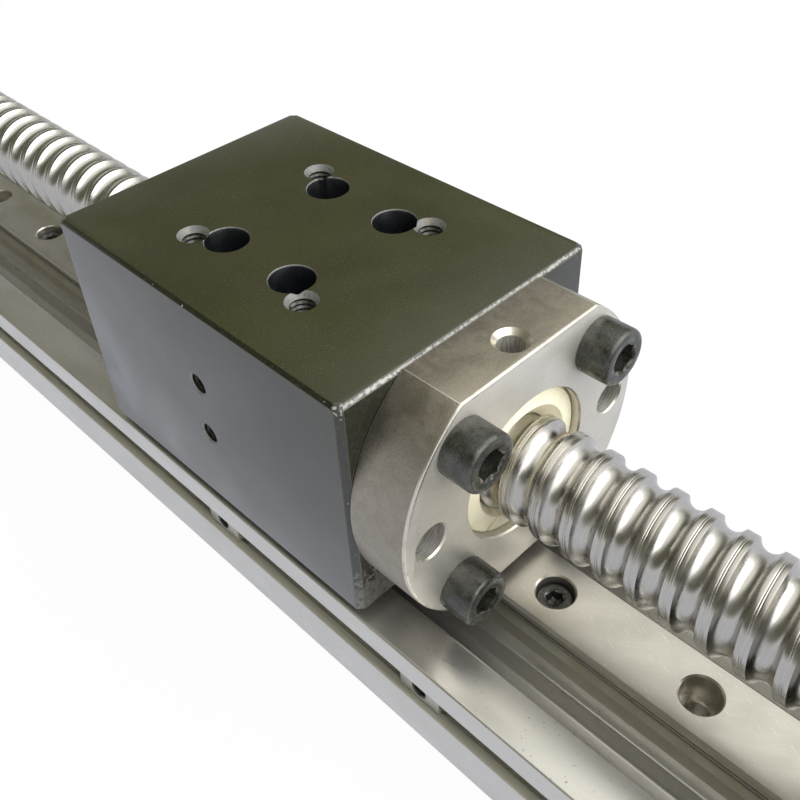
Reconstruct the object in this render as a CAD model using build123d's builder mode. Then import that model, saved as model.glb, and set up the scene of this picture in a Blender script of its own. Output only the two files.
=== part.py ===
"""Ball screw linear module: a flanged ball nut drives a block along a miniature rail.

Millimetres, +Z up. X runs along the screw towards the drive end, and the origin is the
middle of the base's underside, half way along the base.
"""

from build123d import *
import math
import os

os.makedirs("parts", exist_ok=True)

# Base extrusion: a channel for the rail, with a nut slot along each outer side
base_length = 280.0
base_width = 48.0
base_height = 19.0
base_floor_z = 6.0
base_edge_chamfer = 0.6
pad_drop = 8.5
pad_ledge = 2.2
slot_top_wall = 4.9
slot_opening = 4.8
slot_lip = 1.6
slot_depth = 6.0
slot_hidden_ledge = 1.6
slot_wall = 1.4
outer_port_inset = 4.0
outer_port_z = 4.2
inner_port_inset = 2.7
inner_port_z = 5.0

# Miniature rail, 12 mm wide, and its screws
rail_end_gap = 2.5
rail_width = 12.0
rail_height = 8.0
rail_chamfer = 0.5
rail_pitch = 25.0
rail_hole_margin = 15.0
rail_hole_radius = 1.75
rail_counterbore_radius = 3.0
rail_counterbore_depth = 4.5
rail_groove_top = 1.8
rail_groove_height = 3.2
rail_groove_depth = 1.1
rail_groove_slope = 0.7
rail_hole_count_per_screw = 2

# Carriage that runs on the rail
guide_width = 27.0
guide_height = 10.0
guide_lift = 3.0
guide_body_length = 21.7
guide_cap_length = 5.0
guide_seal_length = 1.5
guide_bolt_dx = 15.0
guide_bolt_dy = 20.0
guide_clearance = 0.35
guide_cap_inset = 0.3
guide_edge_chamfer = 0.6

# Ball screw and nut
lead = 5.0
screw_radius = 7.75
track_depth = 1.15
track_width = 3.2
track_end_land = 4.0
screw_end_chamfer = 0.5
nut_bore_gap = 0.55
nut_wall = 5.7
nut_body_length = 40.0
nut_flange_thickness = 10.0
nut_flange_rim = 5.0
nut_bolt_offset = 5.0
nut_edge_chamfer = 0.5
nut_bolt_angles = (45.0, 135.0, 225.0, 315.0)
nut_open_angles = (0.0, 180.0)
nut_hole_clearance = 0.25
nut_running_gap = 0.05
nut_thread_depth = 12.0
oil_hole_radius = 2.5
oil_hole_depth = 8.0
oil_hole_set_back = 3.7
oil_hole_chamfer = 0.6
insert_radius = 4.0
insert_gap = 0.1
insert_count = 4
front_wiper_wall = 3.5
front_wiper_thickness = 3.0
front_wiper_set_back = 0.8
rear_wiper_wall = 2.7
rear_wiper_thickness = 2.5
wiper_gap = 0.3
wiper_fit = 0.05
wiper_slit = 0.8

# Carriage block
block_length = 65.0
block_width = 48.0
block_rest_x = 38.1
block_floor = 6.0
block_edge_chamfer = 0.7
block_corner_chamfer = 1.0
block_pocket_depth = 2.5
block_pocket_gap = 0.4
block_access_gap = 0.65
block_table_dx = 25.0
block_table_dy = 25.0
block_table_thread_radius = 2.1
block_table_depth = 10.0
block_table_countersink = 0.5
block_side_thread_radius = 1.65
block_side_spacing = 10.0
block_side_floor = 2.0

# Bearings, and the share of each one's section that a ring takes
fixed_bearing_bore = 6.0
fixed_bearing_outside = 14.0
fixed_bearing_width = 8.0
fixed_bearing_count = 2
float_bearing_bore = 5.0
float_bearing_outside = 13.0
float_bearing_width = 8.0
ring_wall_share = 0.3
shield_inset = 0.5
shield_thickness = 0.6
shield_gap = 0.3
bearing_fit = 0.01
bearing_shim = 0.05

# End blocks
end_block_drop = 0.5
end_block_top_chamfer = 4.0
end_block_edge_chamfer = 0.6
fixed_wall = 6.0
float_wall = 7.0
float_recess = 1.0
shaft_opening_gap = 2.2
cover_spigot = 2.9
cover_thickness = 4.0
cover_bolt_offset = 2.25
cover_rim = 2.95
cover_bore_gap = 1.0
cover_fit = 0.1
motor_bolt_dy = 38.0
motor_bolt_dz = 30.0
motor_thread_radius = 1.65
motor_thread_depth = 10.0
end_screw_sink = 4.4
end_screw_engagement = 9.4

# Ends of the screw
inner_collar_length = 3.0
collar_wall = 2.0
lock_nut_gap = 1.0
lock_nut_wall = 5.0
lock_nut_length = 7.0
lock_nut_slot_width = 3.0
lock_nut_slot_depth = 1.6
lock_nut_slots = 4
thread_runout = 2.0
drive_radius = 5.0
drive_length = 16.0
circlip_thickness = 1.0
circlip_wall = 1.6
circlip_gap = 3.0
circlip_groove_depth = 0.3
journal_tail = 2.0

# Nuts held in the near side slot
slot_nut_length = 8.0
slot_nut_places = (81.2, 34.0)
slot_nut_thread_radius = 1.25
slot_nut_gap = 0.15

# Socket head screws: thread radius, head radius, head height, hexagon across flats
m3_screw = (1.5, 2.75, 3.0, 2.5)
m4_screw = (2.0, 3.5, 4.0, 3.0)
m5_screw = (2.5, 4.25, 5.0, 4.0)
screw_clearance = 0.2
head_clearance = 0.25
head_chamfer = 0.3
thread_fit = 0.02
rail_screw_length = 8.0
guide_screw_length = 6.0
guide_screw_grip = 2.0
nut_screw_length = 20.0
cover_screw_length = 10.0
blind_hole_spare = 0.8

# Base and rail, from the sizes above
slot_back_y = base_width / 2 - slot_depth
slot_bottom_z = base_height - slot_top_wall - slot_opening
slot_hidden_bottom_z = slot_bottom_z - slot_hidden_ledge
slot_hidden_top_z = slot_bottom_z + slot_opening + slot_hidden_ledge
slot_middle_z = (slot_hidden_bottom_z + slot_hidden_top_z) / 2
base_lip_inner_y = slot_back_y - slot_wall
pad_half_width = rail_width / 2 + pad_ledge
pad_top_z = base_height - pad_drop
outer_port_y = base_width / 2 - outer_port_inset
inner_port_y = pad_half_width - inner_port_inset
rail_length = base_length - 2 * rail_end_gap
rail_top_z = pad_top_z + rail_height
rail_seat_z = rail_top_z - rail_counterbore_depth
rail_holes = int((rail_length - 2 * rail_hole_margin) / rail_pitch) + 1

# Nut: the walls build outwards from the screw
track_root_radius = screw_radius - track_depth
nut_bore_radius = screw_radius + nut_bore_gap
nut_body_radius = nut_bore_radius + nut_wall
nut_bolt_circle = 2 * (nut_body_radius + nut_bolt_offset)
nut_flange_radius = nut_bolt_circle / 2 + nut_flange_rim
nut_hole_radius = m5_screw[0] + nut_hole_clearance
front_wiper_radius = nut_bore_radius + front_wiper_wall
rear_wiper_radius = nut_bore_radius + rear_wiper_wall

# Carriage: the screw's axis is half way up the block, and the flange's flats are as far apart
guide_bottom_z = pad_top_z + guide_lift
guide_top_z = guide_bottom_z + guide_height
guide_screw_seat_z = guide_top_z + guide_screw_grip
block_bottom_z = guide_top_z - block_pocket_depth
screw_z = block_bottom_z + block_floor + nut_body_radius
block_height = 2 * (screw_z - block_bottom_z)
block_top_z = block_bottom_z + block_height
block_front_x = block_rest_x + block_length / 2
block_rear_x = block_rest_x - block_length / 2
block_access_radius = m3_screw[1] + block_access_gap
block_side_depth = block_width / 2 - nut_body_radius - block_side_floor
flange_front_x = block_front_x + nut_flange_thickness
nut_rear_x = block_front_x - nut_body_length

# Ends, from the base's end faces outwards
end_block_height = block_top_z - end_block_drop
fixed_face_x = base_length / 2
fixed_bearing_x = fixed_face_x + fixed_wall
fixed_bearings_end_x = fixed_bearing_x + fixed_bearing_count * (fixed_bearing_width + bearing_shim)
fixed_outer_x = fixed_bearings_end_x + cover_spigot
cover_front_x = fixed_outer_x + cover_thickness
cover_bolt_circle = 2 * (fixed_bearing_outside + cover_bolt_offset)
cover_radius = cover_bolt_circle / 2 + cover_rim
float_face_x = -base_length / 2
float_bearing_x = float_face_x - float_wall
float_bearing_end_x = float_bearing_x - float_bearing_width
float_outer_x = float_bearing_end_x - float_recess
collar_radius = fixed_bearing_bore + collar_wall
lock_nut_radius = fixed_bearing_bore + lock_nut_wall
circlip_radius = float_bearing_bore + circlip_wall
fixed_shoulder_x = fixed_bearing_x - inner_collar_length
lock_nut_x = cover_front_x + lock_nut_gap
drive_x = lock_nut_x + lock_nut_length + thread_runout
drive_end_x = drive_x + drive_length
circlip_x = float_bearing_end_x - circlip_thickness
float_end_x = circlip_x - journal_tail
track_start_x = float_face_x + track_end_land
track_end_x = fixed_face_x - track_end_land

screw_axis = Plane(origin=(0, 0, screw_z), x_dir=(0, 1, 0), z_dir=(1, 0, 0))


def across(x):
    """Plane square to the screw at x, with its origin on the screw's axis."""
    return screw_axis.offset(x)


def groove_corners(half_width, top, height, depth, slope):
    """Corners of a side groove: its mouth lies at half_width and it narrows by slope inside."""
    bottom = top - height
    floor = half_width - depth
    return [(half_width, top), (floor, top - slope), (floor, bottom + slope), (half_width, bottom)]


def cap_screws(size, length, seats):
    """Socket head cap screws: each head stands on its seat and its thread runs below it."""
    thread, head, head_height, flats = size
    tops = [seat.offset(head_height) for seat in seats]

    def on_top(rim):
        return abs(tops[0].to_local_coords(rim.arc_center).Z) < 1e-6

    with BuildPart() as screws:
        with BuildSketch(*seats):
            Circle(head)
        extrude(amount=head_height)
        chamfer(screws.edges().filter_by(GeomType.CIRCLE).filter_by(on_top), head_chamfer)
        with BuildSketch(*seats):
            Circle(thread)
        extrude(amount=-length)
        with BuildSketch(*tops):
            RegularPolygon(radius=flats / 2, side_count=6, major_radius=False)
        extrude(amount=-head_height / 2, mode=Mode.SUBTRACT)
    return screws.part


def on_pattern(plane, places):
    """The plane moved to each (x, y) place, given in the plane's own coordinates."""
    return [plane.shift_origin(plane.from_local_coords(Vector(x, y, 0))) for x, y in places]


def circle_places(diameter, angles):
    """Places on a bolt circle, at angles in degrees."""
    radius = diameter / 2
    return [(radius * math.cos(math.radians(a)), radius * math.sin(math.radians(a))) for a in angles]


def grid_places(dx, dy):
    """The four corners of a rectangle about the origin."""
    return [(sx * dx / 2, sy * dy / 2) for sx in (-1, 1) for sy in (-1, 1)]


def ring(start_x, length, outside, bore):
    """A plain ring about the screw's axis, added to the part being built."""
    with BuildSketch(across(start_x)) as section:
        Circle(outside)
        Circle(bore, mode=Mode.SUBTRACT)
    extrude(section.sketch, amount=length)


end_screw_places = [
    (side * y, z)
    for side in (-1, 1)
    for y, z in ((outer_port_y, outer_port_z), (inner_port_y, inner_port_z))
]
rail_hole_xs = [(i - (rail_holes - 1) / 2) * rail_pitch for i in range(rail_holes)]
bolt_circle_places = circle_places(nut_bolt_circle, nut_bolt_angles)
cover_places = circle_places(cover_bolt_circle, nut_bolt_angles)

# Base extrusion
with BuildPart() as base_extrusion:
    with BuildSketch(Plane.YZ.offset(float_face_x)) as base_section:
        with Locations((0, base_height / 2)):
            Rectangle(base_width, base_height)
        chamfer(base_section.vertices(), base_edge_chamfer)
        with Locations((0, base_height)):
            Rectangle(
                2 * base_lip_inner_y,
                base_height - base_floor_z,
                align=(Align.CENTER, Align.MAX),
                mode=Mode.SUBTRACT,
            )
        with Locations((0, base_floor_z)):
            Rectangle(2 * pad_half_width, pad_top_z - base_floor_z, align=(Align.CENTER, Align.MIN))
        for side in (-1, 1):
            with Locations((side * (base_width / 2 - slot_lip / 2), slot_bottom_z)):
                Rectangle(slot_lip, slot_opening, align=(Align.CENTER, Align.MIN), mode=Mode.SUBTRACT)
            with Locations((side * (slot_back_y + (slot_depth - slot_lip) / 2), slot_hidden_bottom_z)):
                Rectangle(
                    slot_depth - slot_lip,
                    slot_hidden_top_z - slot_hidden_bottom_z,
                    align=(Align.CENTER, Align.MIN),
                    mode=Mode.SUBTRACT,
                )
        with Locations(*end_screw_places):
            Circle(m4_screw[0] + thread_fit, mode=Mode.SUBTRACT)
    extrude(amount=base_length)
    rail_bite = rail_screw_length - (rail_height - rail_counterbore_depth)
    with BuildSketch(Plane.XY.offset(pad_top_z)):
        with GridLocations(rail_pitch, 1, rail_holes, 1):
            Circle(m3_screw[0] + thread_fit)
    extrude(amount=-(rail_bite + blind_hole_spare), mode=Mode.SUBTRACT)
base_extrusion.part.label = "base_extrusion"

# Rail, with a ball groove along each side
with BuildPart() as guide_rail:
    with BuildSketch(Plane.YZ.offset(-rail_length / 2)) as rail_section:
        with Locations((0, pad_top_z)):
            Rectangle(rail_width, rail_height, align=(Align.CENTER, Align.MIN))
        chamfer(rail_section.vertices().group_by(Axis.Y)[-1], rail_chamfer)
        with BuildLine():
            Polyline(
                *groove_corners(
                    rail_width / 2,
                    rail_top_z - rail_groove_top,
                    rail_groove_height,
                    rail_groove_depth,
                    rail_groove_slope,
                ),
                close=True,
            )
        groove = make_face(mode=Mode.SUBTRACT)
        mirror(groove, about=Plane.YZ, mode=Mode.SUBTRACT)
    extrude(amount=rail_length)
    with Locations((0, 0, rail_top_z)):
        with GridLocations(rail_pitch, 1, rail_holes, 1):
            CounterBoreHole(rail_hole_radius, rail_counterbore_radius, rail_counterbore_depth)
guide_rail.part.label = "guide_rail"

rail_screw_seats = [Plane(origin=(x, 0, rail_seat_z)) for x in rail_hole_xs[::rail_hole_count_per_screw]]
rail_screws = cap_screws(m3_screw, rail_screw_length, rail_screw_seats)
rail_screws.label = "rail_screws"

# Threaded nuts that wait in the near side slot
with BuildPart() as slot_nuts:
    for x in slot_nut_places:
        with BuildSketch(Plane.YZ.offset(x - slot_nut_length / 2)):
            with Locations((-slot_back_y - slot_nut_gap, slot_middle_z)):
                Rectangle(
                    slot_depth - slot_lip - 2 * slot_nut_gap,
                    slot_hidden_top_z - slot_hidden_bottom_z - 2 * slot_nut_gap,
                    align=(Align.MAX, Align.CENTER),
                )
                Rectangle(
                    slot_depth - slot_lip / 2 - slot_nut_gap,
                    slot_opening - 2 * slot_nut_gap,
                    align=(Align.MAX, Align.CENTER),
                )
        extrude(amount=slot_nut_length)
    near_side = Plane(origin=(0, -base_width / 2, slot_middle_z), x_dir=(1, 0, 0), z_dir=(0, -1, 0))
    with BuildSketch(near_side):
        with Locations(*[(x, 0) for x in slot_nut_places]):
            Circle(slot_nut_thread_radius)
    extrude(amount=-slot_depth, mode=Mode.SUBTRACT)
slot_nuts.part.label = "slot_nuts"


def end_plate(start_x, thickness):
    """The outline that both end blocks share, added to the part being built."""
    with BuildSketch(Plane.YZ.offset(start_x)) as outline:
        with Locations((0, 0)):
            Rectangle(base_width, end_block_height, align=(Align.CENTER, Align.MIN))
        chamfer(outline.vertices().group_by(Axis.Y)[-1], end_block_top_chamfer)
    extrude(outline.sketch, amount=thickness)


def end_thickness(outer_x):
    """How thick an end block is, from its outer face to the base's end face."""
    return abs(outer_x) - base_length / 2


def end_screw_holes(outer_x, outward):
    """Counterbored holes for the screws that hold an end block to the base."""
    outer_face = Plane(origin=(outer_x, 0, 0), x_dir=(0, outward, 0), z_dir=(outward, 0, 0))
    with BuildSketch(outer_face) as head_holes:
        with Locations(*end_screw_places):
            Circle(m4_screw[1] + head_clearance)
    extrude(head_holes.sketch, amount=-end_screw_sink, mode=Mode.SUBTRACT)
    with BuildSketch(outer_face) as thread_holes:
        with Locations(*end_screw_places):
            Circle(m4_screw[0] + screw_clearance)
    extrude(thread_holes.sketch, amount=-end_thickness(outer_x), mode=Mode.SUBTRACT)


# End block at the drive end, which holds two bearings behind a cover
with BuildPart() as fixed_end_block:
    end_plate(fixed_face_x, fixed_outer_x - fixed_face_x)
    with BuildSketch(across(fixed_face_x)):
        Circle(screw_radius + shaft_opening_gap)
    extrude(amount=fixed_wall, mode=Mode.SUBTRACT)
    with BuildSketch(across(fixed_bearing_x)):
        Circle(fixed_bearing_outside + bearing_fit)
    extrude(amount=fixed_outer_x - fixed_bearing_x, mode=Mode.SUBTRACT)
    end_screw_holes(fixed_outer_x, 1)
    with BuildSketch(across(fixed_outer_x)):
        with Locations(*cover_places):
            Circle(m3_screw[0] + thread_fit)
    extrude(amount=-(cover_screw_length - cover_thickness + blind_hole_spare), mode=Mode.SUBTRACT)
    with BuildSketch(across(fixed_outer_x)):
        with Locations(*grid_places(motor_bolt_dy, motor_bolt_dz)):
            Circle(motor_thread_radius)
    extrude(amount=-motor_thread_depth, mode=Mode.SUBTRACT)
fixed_end_block.part.label = "fixed_end_block"

# End block at the far end, where one bearing lets the screw grow when it warms
with BuildPart() as floating_end_block:
    end_plate(float_outer_x, float_face_x - float_outer_x)
    with BuildSketch(across(float_outer_x)):
        Circle(screw_radius + shaft_opening_gap)
    extrude(amount=float_face_x - float_outer_x, mode=Mode.SUBTRACT)
    with BuildSketch(across(float_outer_x)):
        Circle(float_bearing_outside + bearing_fit)
    extrude(amount=float_bearing_x - float_outer_x, mode=Mode.SUBTRACT)
    end_screw_holes(float_outer_x, -1)
floating_end_block.part.label = "floating_end_block"

# Cover that clamps the outer rings of the drive end's bearings
with BuildPart() as bearing_cover:
    cover_bore = collar_radius + cover_bore_gap
    ring(fixed_bearings_end_x, cover_spigot, fixed_bearing_outside - cover_fit, cover_bore)
    ring(fixed_outer_x, cover_thickness, cover_radius, cover_bore)
    chamfer(bearing_cover.faces().sort_by(Axis.X)[-1].outer_wire().edges(), end_block_edge_chamfer)
    with BuildSketch(across(fixed_outer_x)):
        with Locations(*cover_places):
            Circle(m3_screw[0] + screw_clearance)
    extrude(amount=cover_thickness, mode=Mode.SUBTRACT)
bearing_cover.part.label = "bearing_cover"

cover_seats = on_pattern(across(cover_front_x), cover_places)
cover_screws = cap_screws(m3_screw, cover_screw_length, cover_seats)
cover_screws.label = "cover_screws"


def end_screws(outer_x, outward):
    """The four screws that hold one end block to the base."""
    seat_plane = Plane(
        origin=(outer_x - outward * end_screw_sink, 0, 0), x_dir=(0, outward, 0), z_dir=(outward, 0, 0)
    )
    seats = on_pattern(seat_plane, end_screw_places)
    return cap_screws(m4_screw, end_thickness(outer_x) - end_screw_sink + end_screw_engagement, seats)


fixed_block_screws = end_screws(fixed_outer_x, 1)
fixed_block_screws.label = "fixed_block_screws"
floating_block_screws = end_screws(float_outer_x, -1)
floating_block_screws.label = "floating_block_screws"


def outer_ring(start_x, bore, outside, width):
    """Outer ring of a bearing, with the two shields that are pressed into it."""
    wall = ring_wall_share * (outside - bore)
    ring(start_x, width, outside, outside - wall)
    for shield_x in (start_x + shield_inset, start_x + width - shield_inset - shield_thickness):
        ring(shield_x, shield_thickness, outside - wall, bore + wall + shield_gap)


def inner_ring(start_x, bore, outside, width):
    """Inner ring of a bearing, close on the journal."""
    wall = ring_wall_share * (outside - bore)
    ring(start_x, width, bore + wall, bore + bearing_fit)


# Bearings
fixed_bearing = (fixed_bearing_bore, fixed_bearing_outside, fixed_bearing_width)
float_bearing = (float_bearing_bore, float_bearing_outside, float_bearing_width)
fixed_bearing_xs = [
    fixed_bearing_x + i * (fixed_bearing_width + bearing_shim) for i in range(fixed_bearing_count)
]

with BuildPart() as fixed_bearing_outer_rings:
    for x in fixed_bearing_xs:
        outer_ring(x, *fixed_bearing)
fixed_bearing_outer_rings.part.label = "fixed_bearing_outer_rings"

with BuildPart() as fixed_bearing_inner_rings:
    for x in fixed_bearing_xs:
        inner_ring(x, *fixed_bearing)
fixed_bearing_inner_rings.part.label = "fixed_bearing_inner_rings"

with BuildPart() as floating_bearing_outer_ring:
    outer_ring(float_bearing_end_x, *float_bearing)
floating_bearing_outer_ring.part.label = "floating_bearing_outer_ring"

with BuildPart() as floating_bearing_inner_ring:
    inner_ring(float_bearing_end_x, *float_bearing)
floating_bearing_inner_ring.part.label = "floating_bearing_inner_ring"

# Collars and lock nut that clamp the inner rings against the screw's shoulder
with BuildPart() as inner_collar:
    ring(fixed_shoulder_x, inner_collar_length, collar_radius, fixed_bearing_bore + bearing_fit)
inner_collar.part.label = "inner_collar"

with BuildPart() as outer_collar:
    outer_collar_length = lock_nut_x - fixed_bearings_end_x
    ring(fixed_bearings_end_x, outer_collar_length, collar_radius, fixed_bearing_bore + bearing_fit)
outer_collar.part.label = "outer_collar"

with BuildPart() as lock_nut:
    ring(lock_nut_x, lock_nut_length, lock_nut_radius, fixed_bearing_bore + bearing_fit)
    lock_nut_rims = lock_nut.edges().filter_by(GeomType.CIRCLE).group_by(SortBy.RADIUS)[-1]
    chamfer(lock_nut_rims, end_block_edge_chamfer)
    with BuildSketch(across(lock_nut_x)):
        with PolarLocations(lock_nut_radius - lock_nut_slot_depth / 2, lock_nut_slots):
            Rectangle(2 * lock_nut_slot_depth, lock_nut_slot_width)
    extrude(amount=lock_nut_length, mode=Mode.SUBTRACT)
lock_nut.part.label = "lock_nut"

with BuildPart() as circlip:
    circlip_bore = float_bearing_bore - circlip_groove_depth + bearing_fit
    ring(circlip_x, circlip_thickness, circlip_radius, circlip_bore)
    with BuildSketch(across(circlip_x)):
        with Locations((0, -circlip_radius)):
            Rectangle(circlip_gap, circlip_radius, align=(Align.CENTER, Align.MIN))
    extrude(amount=circlip_thickness, mode=Mode.SUBTRACT)
circlip.part.label = "circlip"

# Ball screw: turned shoulders and journals, and a right-hand ball track of two flanks
with BuildPart() as ball_screw:
    steps = (
        (float_end_x, float_bearing_x, float_bearing_bore),
        (float_bearing_x, fixed_shoulder_x, screw_radius),
        (fixed_shoulder_x, drive_x, fixed_bearing_bore),
        (drive_x, drive_end_x, drive_radius),
    )
    for start_x, end_x, radius in steps:
        with BuildSketch(across(start_x)):
            Circle(radius)
        extrude(amount=end_x - start_x)
    chamfer(ball_screw.faces().sort_by(Axis.X)[0].edges(), screw_end_chamfer)
    chamfer(ball_screw.faces().sort_by(Axis.X)[-1].edges(), screw_end_chamfer)
    with BuildSketch(across(circlip_x)):
        Circle(float_bearing_bore)
        Circle(float_bearing_bore - circlip_groove_depth, mode=Mode.SUBTRACT)
    extrude(amount=circlip_thickness, mode=Mode.SUBTRACT)
    with BuildLine():
        track_path = Helix(
            pitch=lead,
            height=track_end_x - track_start_x,
            radius=track_root_radius,
            center=(track_start_x, 0, screw_z),
            direction=(1, 0, 0),
        )
    flank = track_width / 2 / track_depth
    mouth = 2 * track_depth
    with BuildSketch(Plane(origin=(track_start_x, 0, screw_z), x_dir=(1, 0, 0), z_dir=(0, -1, 0))):
        with BuildLine():
            Polyline(
                (-flank * mouth, track_root_radius + mouth),
                (0, track_root_radius),
                (flank * mouth, track_root_radius + mouth),
                close=True,
            )
        make_face()
    sweep(path=track_path, is_frenet=True, mode=Mode.SUBTRACT)
ball_screw.part.label = "ball_screw"

# Ball nut: a flange with two flats, a body with its ball return openings, and an oil hole
insert_places = [
    (nut_rear_x + nut_body_length * (i + 1) / (insert_count + 1), i * 360 / insert_count)
    for i in range(insert_count)
]


def radial_plane(x, angle):
    """Plane whose normal points out from the screw's axis at an angle from +Y towards +Z."""
    turn = math.radians(angle)
    return Plane(origin=(x, 0, screw_z), x_dir=(1, 0, 0), z_dir=(0, math.cos(turn), math.sin(turn)))


insert_planes = [radial_plane(x, angle) for x, angle in insert_places]

with BuildPart() as ball_nut:
    with BuildSketch(across(block_front_x)):
        Circle(nut_flange_radius)
        Rectangle(2 * nut_flange_radius, block_height, mode=Mode.INTERSECT)
    extrude(amount=nut_flange_thickness)
    chamfer(ball_nut.faces().sort_by(Axis.X)[-1].edges(), nut_edge_chamfer)
    with BuildSketch(across(nut_rear_x)):
        Circle(nut_body_radius)
    extrude(amount=nut_body_length)
    chamfer(ball_nut.faces().sort_by(Axis.X)[0].edges(), nut_edge_chamfer)
    with BuildSketch(across(nut_rear_x)):
        Circle(nut_bore_radius)
    extrude(amount=nut_body_length + nut_flange_thickness, mode=Mode.SUBTRACT)
    with BuildSketch(across(flange_front_x)):
        Circle(front_wiper_radius + wiper_fit)
    extrude(amount=-(front_wiper_thickness + front_wiper_set_back), mode=Mode.SUBTRACT)
    with BuildSketch(across(nut_rear_x)):
        Circle(rear_wiper_radius + wiper_fit)
    extrude(amount=rear_wiper_thickness, mode=Mode.SUBTRACT)
    with BuildSketch(across(block_front_x)):
        with Locations(*circle_places(nut_bolt_circle, nut_bolt_angles + nut_open_angles)):
            Circle(nut_hole_radius)
    extrude(amount=nut_flange_thickness, mode=Mode.SUBTRACT)
    with BuildSketch(Plane(origin=(flange_front_x - oil_hole_set_back, 0, block_top_z))):
        Circle(oil_hole_radius)
    extrude(amount=-oil_hole_depth, mode=Mode.SUBTRACT)
    oil_hole_rim = ball_nut.edges().filter_by(GeomType.CIRCLE).sort_by(Axis.Z)[-1]
    chamfer(oil_hole_rim, oil_hole_chamfer)
    with BuildSketch(*insert_planes):
        Circle(insert_radius + insert_gap)
    extrude(amount=nut_body_radius, mode=Mode.SUBTRACT)
ball_nut.part.label = "ball_nut"

# Inserts that lift the balls over the land, back to the start of their turn
with BuildPart() as ball_return_inserts:
    with BuildSketch(*insert_planes):
        Circle(insert_radius)
    extrude(amount=nut_body_radius)
    with BuildSketch(across(nut_rear_x)):
        Circle(nut_body_radius - insert_gap)
        Circle(nut_bore_radius + insert_gap, mode=Mode.SUBTRACT)
    extrude(amount=nut_body_length, mode=Mode.INTERSECT)
ball_return_inserts.part.label = "ball_return_inserts"


def wiper(start_x, thickness, radius):
    """A split nylon ring that keeps dirt off the balls, added to the part being built."""
    ring(start_x, thickness, radius, screw_radius + wiper_gap)
    with BuildSketch(across(start_x)) as slit:
        with Locations((-radius, 0)):
            Rectangle(radius, wiper_slit, align=(Align.MIN, Align.CENTER))
    extrude(slit.sketch, amount=thickness, mode=Mode.SUBTRACT)


with BuildPart() as front_wiper:
    front_wiper_x = flange_front_x - front_wiper_set_back - front_wiper_thickness
    wiper(front_wiper_x, front_wiper_thickness, front_wiper_radius)
front_wiper.part.label = "front_wiper"

with BuildPart() as rear_wiper:
    wiper(nut_rear_x, rear_wiper_thickness, rear_wiper_radius)
rear_wiper.part.label = "rear_wiper"

nut_screw_seats = on_pattern(across(flange_front_x), bolt_circle_places)
nut_screws = cap_screws(m5_screw, nut_screw_length, nut_screw_seats)
nut_screws.label = "nut_screws"

# Carriage block
with BuildPart() as carriage_block:
    with BuildSketch(Plane.XY.offset(block_bottom_z)):
        with Locations((block_rest_x, 0)):
            Rectangle(block_length, block_width)
    extrude(amount=block_height)
    chamfer(carriage_block.edges().filter_by(Axis.Z), block_corner_chamfer)
    chamfer(carriage_block.faces().sort_by(Axis.Z)[-1].edges(), block_edge_chamfer)
    with BuildSketch(Plane.YZ.offset(block_rear_x)):
        with Locations((0, block_bottom_z)):
            pocket_width = guide_width + 2 * block_pocket_gap
            Rectangle(pocket_width, block_pocket_depth, align=(Align.CENTER, Align.MIN))
    extrude(amount=block_length, mode=Mode.SUBTRACT)
    with BuildSketch(across(block_rear_x)):
        Circle(nut_body_radius + nut_running_gap)
    extrude(amount=block_length, mode=Mode.SUBTRACT)
    with BuildSketch(Plane.XY.offset(block_top_z)):
        with Locations((block_rest_x, 0)):
            with GridLocations(guide_bolt_dx, guide_bolt_dy, 2, 2):
                Circle(block_access_radius)
    extrude(amount=-(block_top_z - guide_screw_seat_z), mode=Mode.SUBTRACT)
    with BuildSketch(Plane.XY.offset(guide_screw_seat_z)):
        with Locations((block_rest_x, 0)):
            with GridLocations(guide_bolt_dx, guide_bolt_dy, 2, 2):
                Circle(m3_screw[0] + screw_clearance)
    extrude(amount=-guide_screw_grip, mode=Mode.SUBTRACT)
    with Locations((block_rest_x, 0, block_top_z)):
        with GridLocations(block_table_dx, block_table_dy, 2, 2):
            CounterSinkHole(
                block_table_thread_radius,
                block_table_thread_radius + block_table_countersink,
                depth=block_table_depth,
                counter_sink_angle=90,
            )
    with BuildSketch(across(block_front_x)):
        with Locations(*bolt_circle_places):
            Circle(m5_screw[0] + thread_fit)
    extrude(amount=-nut_thread_depth, mode=Mode.SUBTRACT)
    block_side = Plane(origin=(block_rest_x, -block_width / 2, screw_z), x_dir=(1, 0, 0), z_dir=(0, -1, 0))
    with BuildSketch(block_side):
        with GridLocations(1, block_side_spacing, 1, 2):
            Circle(block_side_thread_radius)
    extrude(amount=-block_side_depth, mode=Mode.SUBTRACT)
carriage_block.part.label = "carriage_block"


def guide_section(inset, ridges):
    """Cross-section of the rail carriage, open below for the rail and drawn in by inset."""
    with Locations((0, guide_bottom_z + inset)):
        Rectangle(guide_width - 2 * inset, guide_height - 2 * inset, align=(Align.CENTER, Align.MIN))
    with Locations((0, guide_bottom_z)):
        Rectangle(
            rail_width + 2 * guide_clearance,
            rail_top_z - guide_bottom_z + guide_clearance,
            align=(Align.CENTER, Align.MIN),
            mode=Mode.SUBTRACT,
        )
    if ridges:
        with BuildLine() as ridge_outline:
            Polyline(
                *groove_corners(
                    rail_width / 2 + guide_clearance,
                    rail_top_z - rail_groove_top - guide_clearance,
                    rail_groove_height - 2 * guide_clearance,
                    rail_groove_depth,
                    rail_groove_slope,
                ),
                close=True,
            )
        ridge = make_face(ridge_outline.edges())
        mirror(ridge, about=Plane.YZ)


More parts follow.
